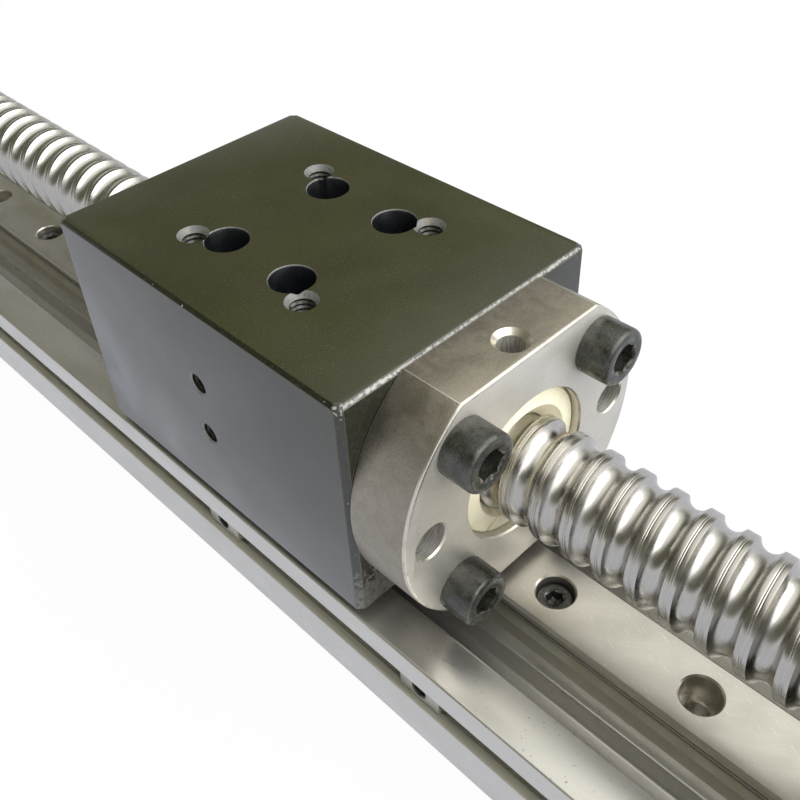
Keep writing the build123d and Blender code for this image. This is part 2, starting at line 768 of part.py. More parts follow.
# Carriage on the rail: a steel body, with plastic caps that turn the balls and a seal at each end
with BuildPart() as guide_body:
    with BuildSketch(Plane.YZ.offset(block_rest_x - guide_body_length / 2)) as guide_outline:
        guide_section(0, True)
        chamfer(guide_outline.vertices().group_by(Axis.Y)[-1], guide_edge_chamfer)
    extrude(amount=guide_body_length)
    with BuildSketch(Plane.XY.offset(guide_top_z)):
        with Locations((block_rest_x, 0)):
            with GridLocations(guide_bolt_dx, guide_bolt_dy, 2, 2):
                Circle(m3_screw[0] + thread_fit)
    extrude(amount=-(guide_screw_length - guide_screw_grip + blind_hole_spare), mode=Mode.SUBTRACT)
guide_body.part.label = "guide_body"

with BuildPart() as guide_end_caps:
    for start_x in (
        block_rest_x - guide_body_length / 2 - guide_cap_length,
        block_rest_x + guide_body_length / 2,
    ):
        with BuildSketch(Plane.YZ.offset(start_x)):
            guide_section(guide_cap_inset, False)
        extrude(amount=guide_cap_length)
guide_end_caps.part.label = "guide_end_caps"

with BuildPart() as guide_end_seals:
    for start_x in (
        block_rest_x - guide_body_length / 2 - guide_cap_length - guide_seal_length,
        block_rest_x + guide_body_length / 2 + guide_cap_length,
    ):
        with BuildSketch(Plane.YZ.offset(start_x)):
            guide_section(2 * guide_cap_inset, False)
        extrude(amount=guide_seal_length)
guide_end_seals.part.label = "guide_end_seals"

guide_seat = Plane(origin=(block_rest_x, 0, guide_screw_seat_z))
guide_seats = on_pattern(guide_seat, grid_places(guide_bolt_dx, guide_bolt_dy))
guide_screws = cap_screws(m3_screw, guide_screw_length, guide_seats)
guide_screws.label = "guide_screws"

pieces = [
    base_extrusion.part,
    guide_rail.part,
    rail_screws,
    slot_nuts.part,
    fixed_end_block.part,
    floating_end_block.part,
    bearing_cover.part,
    cover_screws,
    fixed_block_screws,
    floating_block_screws,
    fixed_bearing_outer_rings.part,
    floating_bearing_outer_ring.part,
    ball_screw.part,
    fixed_bearing_inner_rings.part,
    floating_bearing_inner_ring.part,
    inner_collar.part,
    outer_collar.part,
    lock_nut.part,
    circlip.part,
    carriage_block.part,
    ball_nut.part,
    ball_return_inserts.part,
    front_wiper.part,
    rear_wiper.part,
    nut_screws,
    guide_body.part,
    guide_end_caps.part,
    guide_end_seals.part,
    guide_screws,
]
for piece in pieces:
    export_step(piece, f"parts/{piece.label}.step")
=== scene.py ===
"""Looks of the ball screw linear module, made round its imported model.

Sizes are in millimetres in the model's own frame: X runs along the screw and +Z is up. Each
finished mesh is scaled to metres once, in dress(), so it stands where the model's piece does.
"""

import logging
import math
from dataclasses import asdict, dataclass, replace
from enum import Enum
from typing import Any

import bmesh
import bpy
from mathutils import Matrix, Vector


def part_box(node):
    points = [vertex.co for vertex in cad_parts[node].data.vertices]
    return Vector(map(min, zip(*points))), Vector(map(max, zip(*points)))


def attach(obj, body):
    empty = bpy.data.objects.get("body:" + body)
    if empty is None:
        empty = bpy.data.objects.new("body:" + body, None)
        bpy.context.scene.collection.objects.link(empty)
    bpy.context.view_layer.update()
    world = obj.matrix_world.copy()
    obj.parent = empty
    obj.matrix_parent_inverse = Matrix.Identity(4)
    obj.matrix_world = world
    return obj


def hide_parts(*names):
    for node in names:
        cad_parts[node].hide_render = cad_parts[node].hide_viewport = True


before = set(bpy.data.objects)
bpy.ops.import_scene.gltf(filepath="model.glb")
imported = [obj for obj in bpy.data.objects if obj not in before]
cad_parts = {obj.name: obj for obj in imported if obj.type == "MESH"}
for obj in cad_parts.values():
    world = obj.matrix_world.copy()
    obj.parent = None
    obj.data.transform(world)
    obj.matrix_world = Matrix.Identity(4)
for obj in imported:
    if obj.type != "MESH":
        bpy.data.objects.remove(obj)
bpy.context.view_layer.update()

MM = 0.001
FULL_TURN = 2 * math.pi
SEGMENTS = 96
EDGE_STEPS = 2
SHARP_EDGE = math.radians(25)
SMOOTH_ANGLE = math.radians(32)
MERGE_DISTANCE = 1e-4
MOST_FINISHES = 6
ALONG, NEAR_SIDE, UP = Vector((1, 0, 0)), Vector((0, -1, 0)), Vector((0, 0, 1))
log = logging.getLogger("ball_screw_module")

Outline = list[tuple[float, float]]
Ring = list[Vector]
Socket = bpy.types.NodeSocket


def node_box(node: str) -> tuple[Vector, Vector]:
    """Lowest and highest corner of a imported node, in millimetres."""
    low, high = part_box(node)
    return low / MM, high / MM


SCREW_LOW, SCREW_HIGH = node_box("ball_screw")
SCREW_Z = (SCREW_LOW.z + SCREW_HIGH.z) / 2
BLOCK_LOW, BLOCK_HIGH = node_box("carriage_block")


@dataclass(frozen=True)
class BallTrack:
    """The helical groove that the balls run in: a gothic arch between ground lands.

    Attributes:
        lead: How far it goes along the screw in one turn.
        land: Radius of the lands between its turns.
        root: Radius where it is deepest.
        arch: Radius of its arch.
        shoulder: How far the edge between arch and land is rounded.
        land_place: Where the middle of a land is along X, at angle 0.
        line_place: How far from the middle of a land each of its two ground lines is.
        line_width: Half the width of such a line.
        line_depth: How deep it is.
    """

    lead: float = 5.0
    land: float = 7.75
    root: float = 6.6
    arch: float = 1.74
    shoulder: float = 0.42
    land_place: float = 0.42
    line_place: float = 0.14
    line_width: float = 0.09
    line_depth: float = 0.045

    def radius(self, x: float, angle: float) -> float:
        """Radius of the screw at one place.

        Args:
            x: Where along X.
            angle: Angle about the screw, from +Y towards +Z.

        Returns:
            The radius, without the ground lines.
        """
        along = (x - self.land_place) % self.lead - angle / FULL_TURN * self.lead
        from_middle = (along + self.lead) % self.lead - self.lead / 2
        flank = self.root + self.arch - math.sqrt(max(self.arch**2 - from_middle**2, 0.0))
        near = max(self.shoulder - abs(flank - self.land), 0.0) / self.shoulder
        return min(flank, self.land) - near**3 * self.shoulder / 6


TRACK = BallTrack()


def across_screw(x: float) -> Matrix:
    """Seat whose local Z points along +X from the screw's axis, with its local X along +Y."""
    turn = Matrix(((0, 0, 1), (1, 0, 0), (0, 1, 0))).to_4x4()
    return Matrix.Translation((x, 0, SCREW_Z)) @ turn


def facing(place: Vector, normal: Vector) -> Matrix:
    """Seat whose local Z points along a normal from a place."""
    turn = UP.rotation_difference(normal).to_matrix().to_4x4()
    return Matrix.Translation(place) @ turn


def polar(seat: Matrix, radius: float, angle: float, along: float) -> Vector:
    """Point at a radius and an angle about a seat's axis, at a place along it."""
    return seat @ Vector((radius * math.cos(angle), radius * math.sin(angle), along))


def ring_of(seat: Matrix, radius: float, along: float, segments: int = SEGMENTS) -> Ring:
    """Ring of points about a seat's axis, or the one point on it where the radius is 0."""
    angles = [FULL_TURN * i / segments for i in range(segments)] if radius else [0.0]
    return [polar(seat, radius, angle, along) for angle in angles]


def bolt_places(x: float, diameter: float, angles: tuple[float, ...]) -> Ring:
    """Places on a circle about the screw.

    Args:
        x: Where the circle is along X.
        diameter: Its diameter.
        angles: Angles of the places in degrees, from +Y towards +Z.

    Returns:
        The places.
    """
    radius = diameter / 2
    turns = [math.radians(angle) for angle in angles]
    circle = [(radius * math.cos(turn), radius * math.sin(turn)) for turn in turns]
    return [Vector((x, y, SCREW_Z + z)) for y, z in circle]


def grid_places(dx: float, dy: float) -> Outline:
    """Places at the corners of a rectangle about the origin."""
    return [(x, y) for x in (-dx / 2, dx / 2) for y in (-dy / 2, dy / 2)]


def bar(start: float, end: float, radius: float) -> Outline:
    """Profile of a plain round bar, to turn."""
    return [(start, 0.0), (start, radius), (end, radius), (end, 0.0)]


def rounded(corners: list[tuple[float, float, float]], steps: int = 4) -> Outline:
    """Rounds each corner of a polygon.

    Args:
        corners: The corners in order, each with the radius of its arc, or 0 to keep it sharp.
        steps: How many straight pieces make one arc.

    Returns:
        The outline's points in the same order.
    """
    outline: Outline = []
    for index, (x, y, radius) in enumerate(corners):
        corner = Vector((x, y))
        if radius == 0:
            outline.append((x, y))
            continue
        back = (Vector(corners[index - 1][:2]) - corner).normalized()
        ahead = (Vector(corners[(index + 1) % len(corners)][:2]) - corner).normalized()
        half = back.angle(ahead) / 2
        centre = corner + (back + ahead).normalized() * radius / math.sin(half)
        start = corner + back * radius / math.tan(half) - centre
        end = corner + ahead * radius / math.tan(half) - centre
        first = math.atan2(start.y, start.x)
        swing = (math.atan2(end.y, end.x) - first + math.pi) % FULL_TURN - math.pi
        for step in range(steps + 1):
            angle = first + swing * step / steps
            across, up = radius * math.cos(angle), radius * math.sin(angle)
            outline.append((centre.x + across, centre.y + up))
    return outline


def ring_section(
    span: tuple[float, float], bore: float, outside: float, edges: tuple[float, ...], steps: int = 3
) -> Outline:
    """Section of a plain ring, to turn.

    Args:
        span: Where it begins and ends along X.
        bore: Its inner radius.
        outside: Its outer radius.
        edges: Radii of its edges: two at the bore, then two outside, back to the start.
        steps: How many straight pieces make one edge.

    Returns:
        The closed outline, in pairs of a place along X and a radius.
    """
    start, end = span
    corners = ((start, bore), (end, bore), (end, outside), (start, outside))
    return rounded([(x, radius, edge) for (x, radius), edge in zip(corners, edges)], steps)


def edge_levels(start: float, end: float, first: float, last: float, steps: int = 3) -> Outline:
    """Levels along a turned or extruded piece whose two end edges are rounded.

    Args:
        start: Where the piece begins.
        end: Where it ends.
        first: Radius of the edge at its start.
        last: Radius of the edge at its end.
        steps: Straight pieces in each edge.

    Returns:
        Pairs of a place along the piece and how far its outline is drawn in there.
    """
    angles = [math.pi / 2 * k / steps for k in range(steps + 1)]
    arc = [(1 - math.cos(angle), 1 - math.sin(angle)) for angle in angles]
    opening = [(start + first * along, first * inset) for along, inset in arc]
    closing = [(end - last * along, last * inset) for along, inset in reversed(arc)]
    return opening + closing


def add_object(name: str, data: bpy.types.ID) -> bpy.types.Object:
    """A new object in the scene."""
    made = bpy.data.objects.new(name, data)
    bpy.context.scene.collection.objects.link(made)
    return made


def evaluated_mesh(source: bpy.types.Object) -> bpy.types.Mesh:
    """The mesh that an object's modifiers make of it."""
    graph = bpy.context.evaluated_depsgraph_get()
    return bpy.data.meshes.new_from_object(source.evaluated_get(graph))


class Solid:
    """One closed mesh in the making, in millimetres."""

    def __init__(self) -> None:
        """Starts with no faces."""
        self.mesh = bmesh.new()

    def bridge(
        self, lower: list[bmesh.types.BMVert], upper: list[bmesh.types.BMVert], finish: int
    ) -> list[bmesh.types.BMFace]:
        """Joins two rows of points by a band of faces.

        Args:
            lower: One row, of as many points as the other or of one.
            upper: The other row.
            finish: Number of the band's finish.

        Returns:
            The band's faces.
        """
        band = []
        count = max(len(lower), len(upper))
        for i in range(count):
            j = (i + 1) % count
            below = [lower[i % len(lower)], lower[j % len(lower)]]
            above = [upper[j % len(upper)], upper[i % len(upper)]]
            band.append(self.mesh.faces.new(list(dict.fromkeys(below + above))))
            band[-1].material_index = finish
        return band

    def skin(
        self, rings: list[Ring], finishes: list[int] | int = 0, closed: bool = False
    ) -> "Solid":
        """Joins rings of points to a closed shell.

        Args:
            rings: Rings of equally many points, or of one point where the shell runs to a tip.
            finishes: The finish of each band between two rings, or one for all.
            closed: True where the last ring joins the first, so that there are no end faces.

        Returns:
            This solid.
        """
        rows = [[self.mesh.verts.new(point) for point in ring] for ring in rings]
        pairs = list(zip(rows, rows[1:] + rows[:1] if closed else rows[1:]))
        bands = [finishes] * len(pairs) if isinstance(finishes, int) else finishes
        made = []
        for (lower, upper), finish in zip(pairs, bands):
            made += self.bridge(lower, upper, finish)
        for row, finish in () if closed else ((rows[0], bands[0]), (rows[-1], bands[-1])):
            if len(row) > 1:
                made.append(self.mesh.faces.new(row))
                made[-1].material_index = finish
        bmesh.ops.recalc_face_normals(self.mesh, faces=made)
        return self

    def turn(
        self,
        profile: Outline,
        seat: Matrix,
        segments: int = SEGMENTS,
        finishes: list[int] | int = 0,
    ) -> "Solid":
        """Adds a turned shell, from pairs of a place along the seat's axis and a radius."""
        return self.skin([ring_of(seat, radius, x, segments) for x, radius in profile], finishes)

    def ring(
        self,
        section: Outline,
        seat: Matrix,
        start: float = 0.0,
        sweep: float = FULL_TURN,
        segments: int = SEGMENTS,
    ) -> "Solid":
        """Adds a ring, or part of one.

        Args:
            section: Closed outline of pairs of a place along the seat's axis and a radius.
            seat: Where the ring's axis is.
            start: Angle at which a part ring starts.
            sweep: How far round it goes.
            segments: Faces round the sweep.

        Returns:
            This solid.
        """
        whole = math.isclose(sweep, FULL_TURN)
        steps = range(segments if whole else segments + 1)
        angles = [start + sweep * step / segments for step in steps]
        rings = [[polar(seat, radius, angle, x) for x, radius in section] for angle in angles]
        return self.skin(rings, closed=whole)

    def extrude(self, outline: Outline, seat: Matrix, start: float, end: float) -> "Solid":
        """Adds a straight extrusion of an outline along the seat's Z."""
        return self.skin([[seat @ Vector((x, y, z)) for x, y in outline] for z in (start, end)])

    def round_edges(self, width: float) -> "Solid":
        """Rounds every sharp edge.

        Args:
            width: How far from the edge the rounding starts.

        Returns:
            This solid.
        """
        sharp = [
            edge
            for edge in self.mesh.edges
            if len(edge.link_faces) == 2 and edge.calc_face_angle() > SHARP_EDGE
        ]
        bmesh.ops.bevel(
            self.mesh,
            geom=sharp,
            offset=width,
            segments=EDGE_STEPS,
            profile=0.5,
            affect="EDGES",
            clamp_overlap=True,
        )
        return self

    def cut(self, other: "Solid") -> "Solid":
        """Takes another solid away from this one."""
        return self.combine(other, "DIFFERENCE")

    def fuse(self, other: "Solid") -> "Solid":
        """Joins another solid to this one."""
        return self.combine(other, "UNION")

    def combine(self, other: "Solid", operation: str) -> "Solid":
        """Joins or cuts with another solid.

        Args:
            other: The other solid, whose faces keep their finish.
            operation: Name of the boolean operation.

        Returns:
            This solid.
        """
        slots = MOST_FINISHES * [None]
        ours, theirs = self.to_object("ours", slots), other.to_object("theirs", slots)
        boolean = ours.modifiers.new("combine", "BOOLEAN")
        boolean.solver = "EXACT"
        boolean.operation = operation
        boolean.object = theirs
        combined = evaluated_mesh(ours)
        self.mesh.clear()
        self.mesh.from_mesh(combined)
        bmesh.ops.remove_doubles(self.mesh, verts=self.mesh.verts, dist=MERGE_DISTANCE)
        bmesh.ops.dissolve_degenerate(self.mesh, edges=self.mesh.edges, dist=MERGE_DISTANCE)
        for used in (combined, ours.data, theirs.data):
            bpy.data.meshes.remove(used)
        return self

    def to_object(self, name: str, finishes: list[bpy.types.Material | None]) -> bpy.types.Object:
        """Makes an object from the mesh.

        Args:
            name: Its name.
            finishes: Its material slots, in the order of the faces' numbers.

        Returns:
            The object.
        """
        data = bpy.data.meshes.new(name)
        self.mesh.to_mesh(data)
        for finish in finishes:
            data.materials.append(finish)
        return add_object(name, data)


def add_node(
    tree: bpy.types.NodeTree,
    kind: str,
    inputs: dict[str | int, Any] | list[Any] | tuple[Any, ...] = (),
    **settings: Any,
) -> bpy.types.Node:
    """Adds one node to a tree.

    Args:
        tree: The shader or geometry tree.
        kind: The node's type.
        inputs: In order or by name or number, values, outputs, or nodes whose first output feeds.
        settings: Values of the node's own settings.

    Returns:
        The new node.
    """
    node = tree.nodes.new(kind)
    for name, value in settings.items():
        setattr(node, name, value)
    for key, source in (inputs if isinstance(inputs, dict) else dict(enumerate(inputs))).items():
        if isinstance(source, bpy.types.Node):
            source = source.outputs[0]
        if isinstance(source, Socket):
            tree.links.new(source, node.inputs[key])
        else:
            node.inputs[key].default_value = source
    return node


def empty_tree(owner: bpy.types.Material | bpy.types.World) -> bpy.types.NodeTree:
    """Turns nodes on for a material or a world, and empties its tree."""
    owner.use_nodes = True
    owner.node_tree.nodes.clear()
    return owner.node_tree


def paint(hex_colour: str) -> tuple[float, float, float, float]:
    """Turns an sRGB hex colour to linear red, green, blue and alpha."""
    parts = [int(hex_colour[i : i + 2], 16) / 255 for i in (1, 3, 5)]
    linear = [c / 12.92 if c <= 0.04045 else ((c + 0.055) / 1.055) ** 2.4 for c in parts]
    return (*linear, 1.0)


class Layout(Enum):
    """What a pattern follows."""

    PIECE = "the piece as it stands"
    TURNED = "rings about the screw's axis"
    TRACK = "the helix of the ball track"


@dataclass(frozen=True)
class Pattern:
    """A random pattern whose features have a real size.

    Attributes:
        grain: Size of one feature in millimetres.
        low: Noise value at which the pattern starts to show.
        high: Noise value at which it shows in full.
        stretch: How many times longer the features are along X, Y and Z.
        turn: Rotation of the pattern in degrees.
        detail: How many finer layers the noise has.
        layout: What the pattern follows.
    """

    grain: float
    low: float = 0.35
    high: float = 0.65
    stretch: tuple[float, float, float] = (1.0, 1.0, 1.0)
    turn: tuple[float, float, float] = (0.0, 0.0, 0.0)
    detail: float = 2.0
    layout: Layout = Layout.PIECE

    def place(self, tree: bpy.types.NodeTree) -> Socket:
        """Coordinates that the pattern is drawn on.

        Args:
            tree: The material's tree.

        Returns:
            The output with the coordinates in metres.
        """
        where = add_node(tree, "ShaderNodeTexCoord").outputs["Object"]
        if self.layout is Layout.PIECE:
            return where
        axis = (0.0, 0.0, SCREW_Z * MM)
        from_axis = add_node(tree, "ShaderNodeVectorMath", (where, axis), operation="SUBTRACT")
        x, y, z = add_node(tree, "ShaderNodeSeparateXYZ", (from_axis,)).outputs
        if self.layout is Layout.TURNED:
            flat = add_node(tree, "ShaderNodeCombineXYZ", (0.0, y, z))
            radius = add_node(tree, "ShaderNodeVectorMath", (flat,), operation="LENGTH")
            return add_node(tree, "ShaderNodeCombineXYZ", (radius.outputs["Value"], x)).outputs[0]
        lead = TRACK.lead * MM
        angle = add_node(tree, "ShaderNodeMath", (z, y), operation="ARCTAN2")
        advance = add_node(tree, "ShaderNodeMath", (angle, lead / FULL_TURN), operation="MULTIPLY")
        unrolled = add_node(tree, "ShaderNodeMath", (x, advance), operation="SUBTRACT")
        phase = add_node(tree, "ShaderNodeMath", (unrolled, 0.0, lead), operation="WRAP")
        return add_node(tree, "ShaderNodeCombineXYZ", (phase, y, z)).outputs[0]

    def mask(self, tree: bpy.types.NodeTree, start: float = 0.0, end: float = 1.0) -> Socket:
        """Where the pattern shows.

        Args:
            tree: The material's tree.
            start: Value where the pattern doesn't show.
            end: Value where it shows in full.

        Returns:
            The output with the value at each point.
        """
        turn = [math.radians(angle) for angle in self.turn]
        scale = [self.grain * MM * share for share in self.stretch]
        given = {"Vector": self.place(tree), "Rotation": turn, "Scale": scale}
        mapping = add_node(tree, "ShaderNodeMapping", given, vector_type="TEXTURE")
        given = {"Vector": mapping, "Scale": 1.0, "Detail": self.detail}
        noise = add_node(tree, "ShaderNodeTexNoise", given).outputs["Fac"]
        shown = (noise, self.low, self.high, start, end)
        return add_node(
            tree, "ShaderNodeMapRange", shown, interpolation_type="SMOOTHSTEP"
        ).outputs[0]


@dataclass(frozen=True)
class Layer:
    """A colour that a pattern lays over a finish, up to an amount."""

    colour: str
    amount: float
    pattern: Pattern


@dataclass(frozen=True)
class WornOrLitEdge:
    """Bare metal or painted light along an edge beside one axis, or about a corner.

    Attributes:
        place: A point on the edge in millimetres, with None for the axis that the edge runs beside.
        width: How far from the edge the mark reaches.
        ragged: How far that width wanders.
        chips: Pattern of the ragged border.
        patches: Where along the edge the mark is.
        amount: How far the mark goes, 1 for bare metal.
        border: Shares of the width between which the mark fades.
    """

    place: tuple[float | None, float | None, float | None]
    width: float
    ragged: float
    chips: Pattern = Pattern(grain=0.9, low=0.2, high=0.8, detail=5.0)
    patches: Pattern = Pattern(grain=5.0, low=0.3, high=0.36, detail=3.0)
    amount: float = 1.0
    border: tuple[float, float] = (1.1, 0.9)

    def mask(self, tree: bpy.types.NodeTree) -> Socket:
        """Where the metal is bare, or where light is painted.

        Args:
            tree: The material's tree.

        Returns:
            The output that is 0 away from the edge, and the mark's amount on it.
        """
        where = add_node(tree, "ShaderNodeTexCoord").outputs["Object"]
        keep = [0.0 if value is None else 1.0 for value in self.place]
        target = [(value or 0.0) * MM for value in self.place]
        flat = add_node(tree, "ShaderNodeVectorMath", (where, keep), operation="MULTIPLY")
        away = add_node(tree, "ShaderNodeVectorMath", (flat, target), operation="DISTANCE")
        wander = self.chips.mask(tree, -self.ragged * MM, self.ragged * MM)
        terms = (away.outputs["Value"], wander)
        wandered = add_node(tree, "ShaderNodeMath", terms, operation="ADD")
        outer, inner = (self.width * MM * share for share in self.border)
        near = add_node(tree, "ShaderNodeMapRange", (wandered, outer, inner, 0.0, 1.0))
        here = self.patches.mask(tree, 0.0, self.amount)
        return add_node(tree, "ShaderNodeMath", (near, here), operation="MULTIPLY").outputs[0]


@dataclass(frozen=True)
class Finish:
    """How one surface was made and what it looks like.

    Attributes:
        name: The finish in a maker's words.
        colour: Its main colour.
        metallic: 1 for bare metal.
        roughness: Roughness where its pattern is lowest and highest.
        uneven: Pattern that the roughness follows.
        layers: Colours laid over the main one.
        relief: Pattern that stands out of the surface, and its height in millimetres.
        sockets: Other sockets of the shader and their values.
        worn: Edges where the coating has gone, and places where light is painted as pale metal.
        bare: Colour of the bare metal there, and of the painted light.
        bare_roughness: Its roughness.
        bare_metallic: How metallic it looks: low where the metal is torn and dusty.
    """

    name: str
    colour: str
    metallic: float = 0.0
    roughness: tuple[float, float] = (0.4, 0.5)
    uneven: Pattern = Pattern(grain=3.0)
    layers: tuple[Layer, ...] = ()
    relief: tuple[Pattern, float] | None = None
    sockets: tuple[tuple[str, float], ...] = ()
    worn: tuple[WornOrLitEdge, ...] = ()
    bare: str = "#a3a29b"
    bare_roughness: float = 0.5
    bare_metallic: float = 0.4

    def material(self) -> bpy.types.Material:
        """The finish as a material, made once.

        Returns:
            The material.
        """
        made = bpy.data.materials.get(self.name)
        if made:
            return made
        made = bpy.data.materials.new(self.name)
        tree = empty_tree(made)
        colour: Any = paint(self.colour)
        given = {"Base Color": colour, "Metallic": self.metallic, **dict(self.sockets)}
        shader = add_node(tree, "ShaderNodeBsdfPrincipled", given)
        add_node(tree, "ShaderNodeOutputMaterial", {"Surface": shader})
        rough = self.uneven.mask(tree, *self.roughness)
        for layer in self.layers:
            shown = layer.pattern.mask(tree, 0.0, layer.amount)
            given = {0: shown, 6: colour, 7: paint(layer.colour)}
            colour = add_node(tree, "ShaderNodeMix", given, data_type="RGBA").outputs[2]
        # Pale metal along the listed edges: chips and nicks, and painted highlights and reflections
        if self.worn:
            wear, *others = [edge.mask(tree) for edge in self.worn]
            for other in others:
                wear = add_node(tree, "ShaderNodeMath", (wear, other), operation="MAXIMUM")
            given = {0: wear, 6: colour, 7: paint(self.bare)}
            colour = add_node(tree, "ShaderNodeMix", given, data_type="RGBA").outputs[2]
            terms = (wear, self.bare_metallic)
            shine = add_node(tree, "ShaderNodeMath", terms, operation="MULTIPLY")
            tree.links.new(shine.outputs[0], shader.inputs["Metallic"])
            given = (wear, 0.0, 1.0, rough, self.bare_roughness)
            rough = add_node(tree, "ShaderNodeMapRange", given).outputs[0]
        tree.links.new(rough, shader.inputs["Roughness"])
        if isinstance(colour, Socket):
            tree.links.new(colour, shader.inputs["Base Color"])
        if self.relief:
            pattern, height = self.relief
            given = {"Strength": 1.0, "Distance": height * MM, "Height": pattern.mask(tree)}
            bump = add_node(tree, "ShaderNodeBump", given)
            tree.links.new(bump.outputs[0], shader.inputs["Normal"])
        return made


# How much longer a drawn, turned or brushed grain is than it is wide
DRAWN = (30.0, 1.0, 1.0)
BRUSHED = (25.0, 1.0, 1.0)
DRILLED = (1.0, 16.0, 16.0)

# Clear anodising over an extruded and blasted profile: matt silver, evenly lit, with faint
# clouds drawn out along its length and a few grains of dust
SILVER_ANODISED = Finish(
    "silver_anodised_extrusion",
    "#d3d1cb",
    metallic=0.85,
    roughness=(0.27, 0.37),
    uneven=Pattern(6.0, stretch=(3.0, 1.0, 1.0)),
    layers=(
        Layer("#cfcdc5", 0.4, Pattern(0.4, low=0.4, high=0.7, stretch=DRAWN)),
        Layer("#c3c1b7", 0.6, Pattern(11.0, 0.5, 0.75, (2.0, 1.0, 1.0), detail=3.0)),
        Layer("#8d8b82", 0.5, Pattern(0.4, low=0.79, high=0.82, detail=0.0)),
    ),
    relief=(Pattern(0.2), 0.002),
)

# Inside the nut slots: paler, rougher, less metallic and a little yellow, as painted light that
# stands for the light reaching into the slots
SLOT_ANODISED_PAINTED_LIGHT = Finish(
    "silver_anodised_slot_painted_light",
    "#b4b2a4",
    metallic=0.15,
    roughness=(0.5, 0.6),
    layers=(Layer("#a19f92", 0.6, Pattern(0.5, low=0.4, high=0.7, stretch=DRAWN)),),
    relief=(Pattern(0.3), 0.003),
)

# Dark anodising over a milled block: olive black and satin, with pale dust in its pores. A thin
# pale line along the edge above the nut is a painted highlight; the near corner and edges have
# chips and nicks through to bright metal
OLIVE_ANODISED = Finish(
    "olive_black_anodised",
    "#323320",
    roughness=(0.2, 0.27),
    uneven=Pattern(9.0, detail=3.0),
    layers=(
        Layer("#3a3a22", 0.7, Pattern(16.0, low=0.35, high=0.7, detail=3.0)),
        Layer("#474631", 0.5, Pattern(0.25, low=0.5, high=0.72, detail=1.0)),
        Layer("#77755f", 0.4, Pattern(0.22, low=0.77, high=0.82, detail=0.0)),
    ),
    relief=(Pattern(1.5, detail=1.0), 0.0006),
    sockets=(("Specular IOR Level", 0.85),),
    worn=(
        # Painted highlight: a thin pale line along the top edge above the nut
        WornOrLitEdge(
            (BLOCK_HIGH.x, None, BLOCK_HIGH.z),
            width=0.46,
            ragged=0.07,
            chips=Pattern(0.6, low=0.25, high=0.75, detail=4.0),
            patches=Pattern(0.5, low=0.2, high=0.3),
        ),
        WornOrLitEdge((BLOCK_HIGH.x, BLOCK_LOW.y, BLOCK_HIGH.z), width=0.95, ragged=0.8),
        WornOrLitEdge(
            (BLOCK_HIGH.x, BLOCK_LOW.y, None),
            width=0.5,
            ragged=0.3,
            patches=Pattern(2.2, low=0.62, high=0.64, detail=3.0),
        ),
        WornOrLitEdge(
            (None, BLOCK_LOW.y, BLOCK_HIGH.z),
            width=0.45,
            ragged=0.3,
            patches=Pattern(0.8, low=0.7, high=0.72),
        ),
    ),
)

# The block's long sides: smooth, and a lighter blue-grey than the top as a painted reflection of
# the floor, with the odd hair scratch
HAIR = Pattern(0.3, low=0.75, high=0.77, stretch=(14.0, 1.0, 1.0), turn=(0, 12, 0))
OLIVE_SIDE_PAINTED_REFLECTION = replace(
    OLIVE_ANODISED,
    name="olive_black_side_painted_reflection",
    colour="#474846",
    layers=(
        Layer("#4e4f4d", 0.6, Pattern(14.0, low=0.35, high=0.7, detail=3.0)),
        Layer("#8a8b8c", 0.35, HAIR),
    ),
    relief=None,
    sockets=(("Specular IOR Level", 0.62),),
)

# The milled chamfers and the end above the nut, darker and smoother than the top: on the end the
# darkness is painted shade. A pale speckled patch low down at the near corner is a painted
# reflection of the base
PAINTED_REFLECTION_PATCH = WornOrLitEdge(
    (BLOCK_HIGH.x, BLOCK_LOW.y + 5.0, BLOCK_LOW.z + 1.0),
    width=6.5,
    ragged=5.0,
    chips=Pattern(0.8, low=0.2, high=0.8, detail=6.0),
    patches=Pattern(0.4, low=0.2, high=0.7, detail=3.0),
    amount=0.45,
)
OLIVE_CHAMFER_AND_PAINTED_SHADE = replace(
    OLIVE_ANODISED,
    name="olive_black_chamfer_and_painted_shade",
    colour="#1c1d12",
    layers=(Layer("#34352a", 0.8, Pattern(0.4, low=0.5, high=0.72, detail=3.0)),),
    worn=OLIVE_ANODISED.worn + (PAINTED_REFLECTION_PATCH,),
)

# The end blocks and the cover have the same anodising, without the edge wear and the painted
# highlight
OLIVE_ANODISED_PLAIN = replace(OLIVE_ANODISED, name="olive_black_anodised_plain", worn=())

# The same anodising in countersinks, where the cutter left it rough and pale
PALE_COUNTERSINK = Finish(
    "pale_countersink",
    "#7f817d",
    metallic=0.2,
    roughness=(0.4, 0.55),
    layers=(
        Layer("#5c5b54", 0.7, Pattern(0.5, low=0.5, high=0.7)),
        Layer("#94815a", 0.4, Pattern(1.6, low=0.6, high=0.7)),
    ),
    relief=(Pattern(0.25), 0.004),
)

# Blue-black and smooth, darker than the block's anodising: painted shade down the deep wells, and
# in the thin notch below the rail's top edge, where it is partly oil
NEAR_BLACK_PAINTED_SHADE = Finish(
    "near_black_painted_shade",
    "#121416",
    roughness=(0.28, 0.4),
    layers=(Layer("#1f2224", 0.8, Pattern(0.5, low=0.5, high=0.7)),),
    relief=(Pattern(0.4), 0.003),
)

# Threads cut through the anodising: dark grey, with darker patches at random
CUT_THREAD = Finish(
    "cut_thread",
    "#5c5c57",
    metallic=0.6,
    roughness=(0.3, 0.45),
    layers=(Layer("#33332c", 0.9, Pattern(0.7, low=0.4, high=0.6)),),
    relief=(Pattern(0.2), 0.004),
)

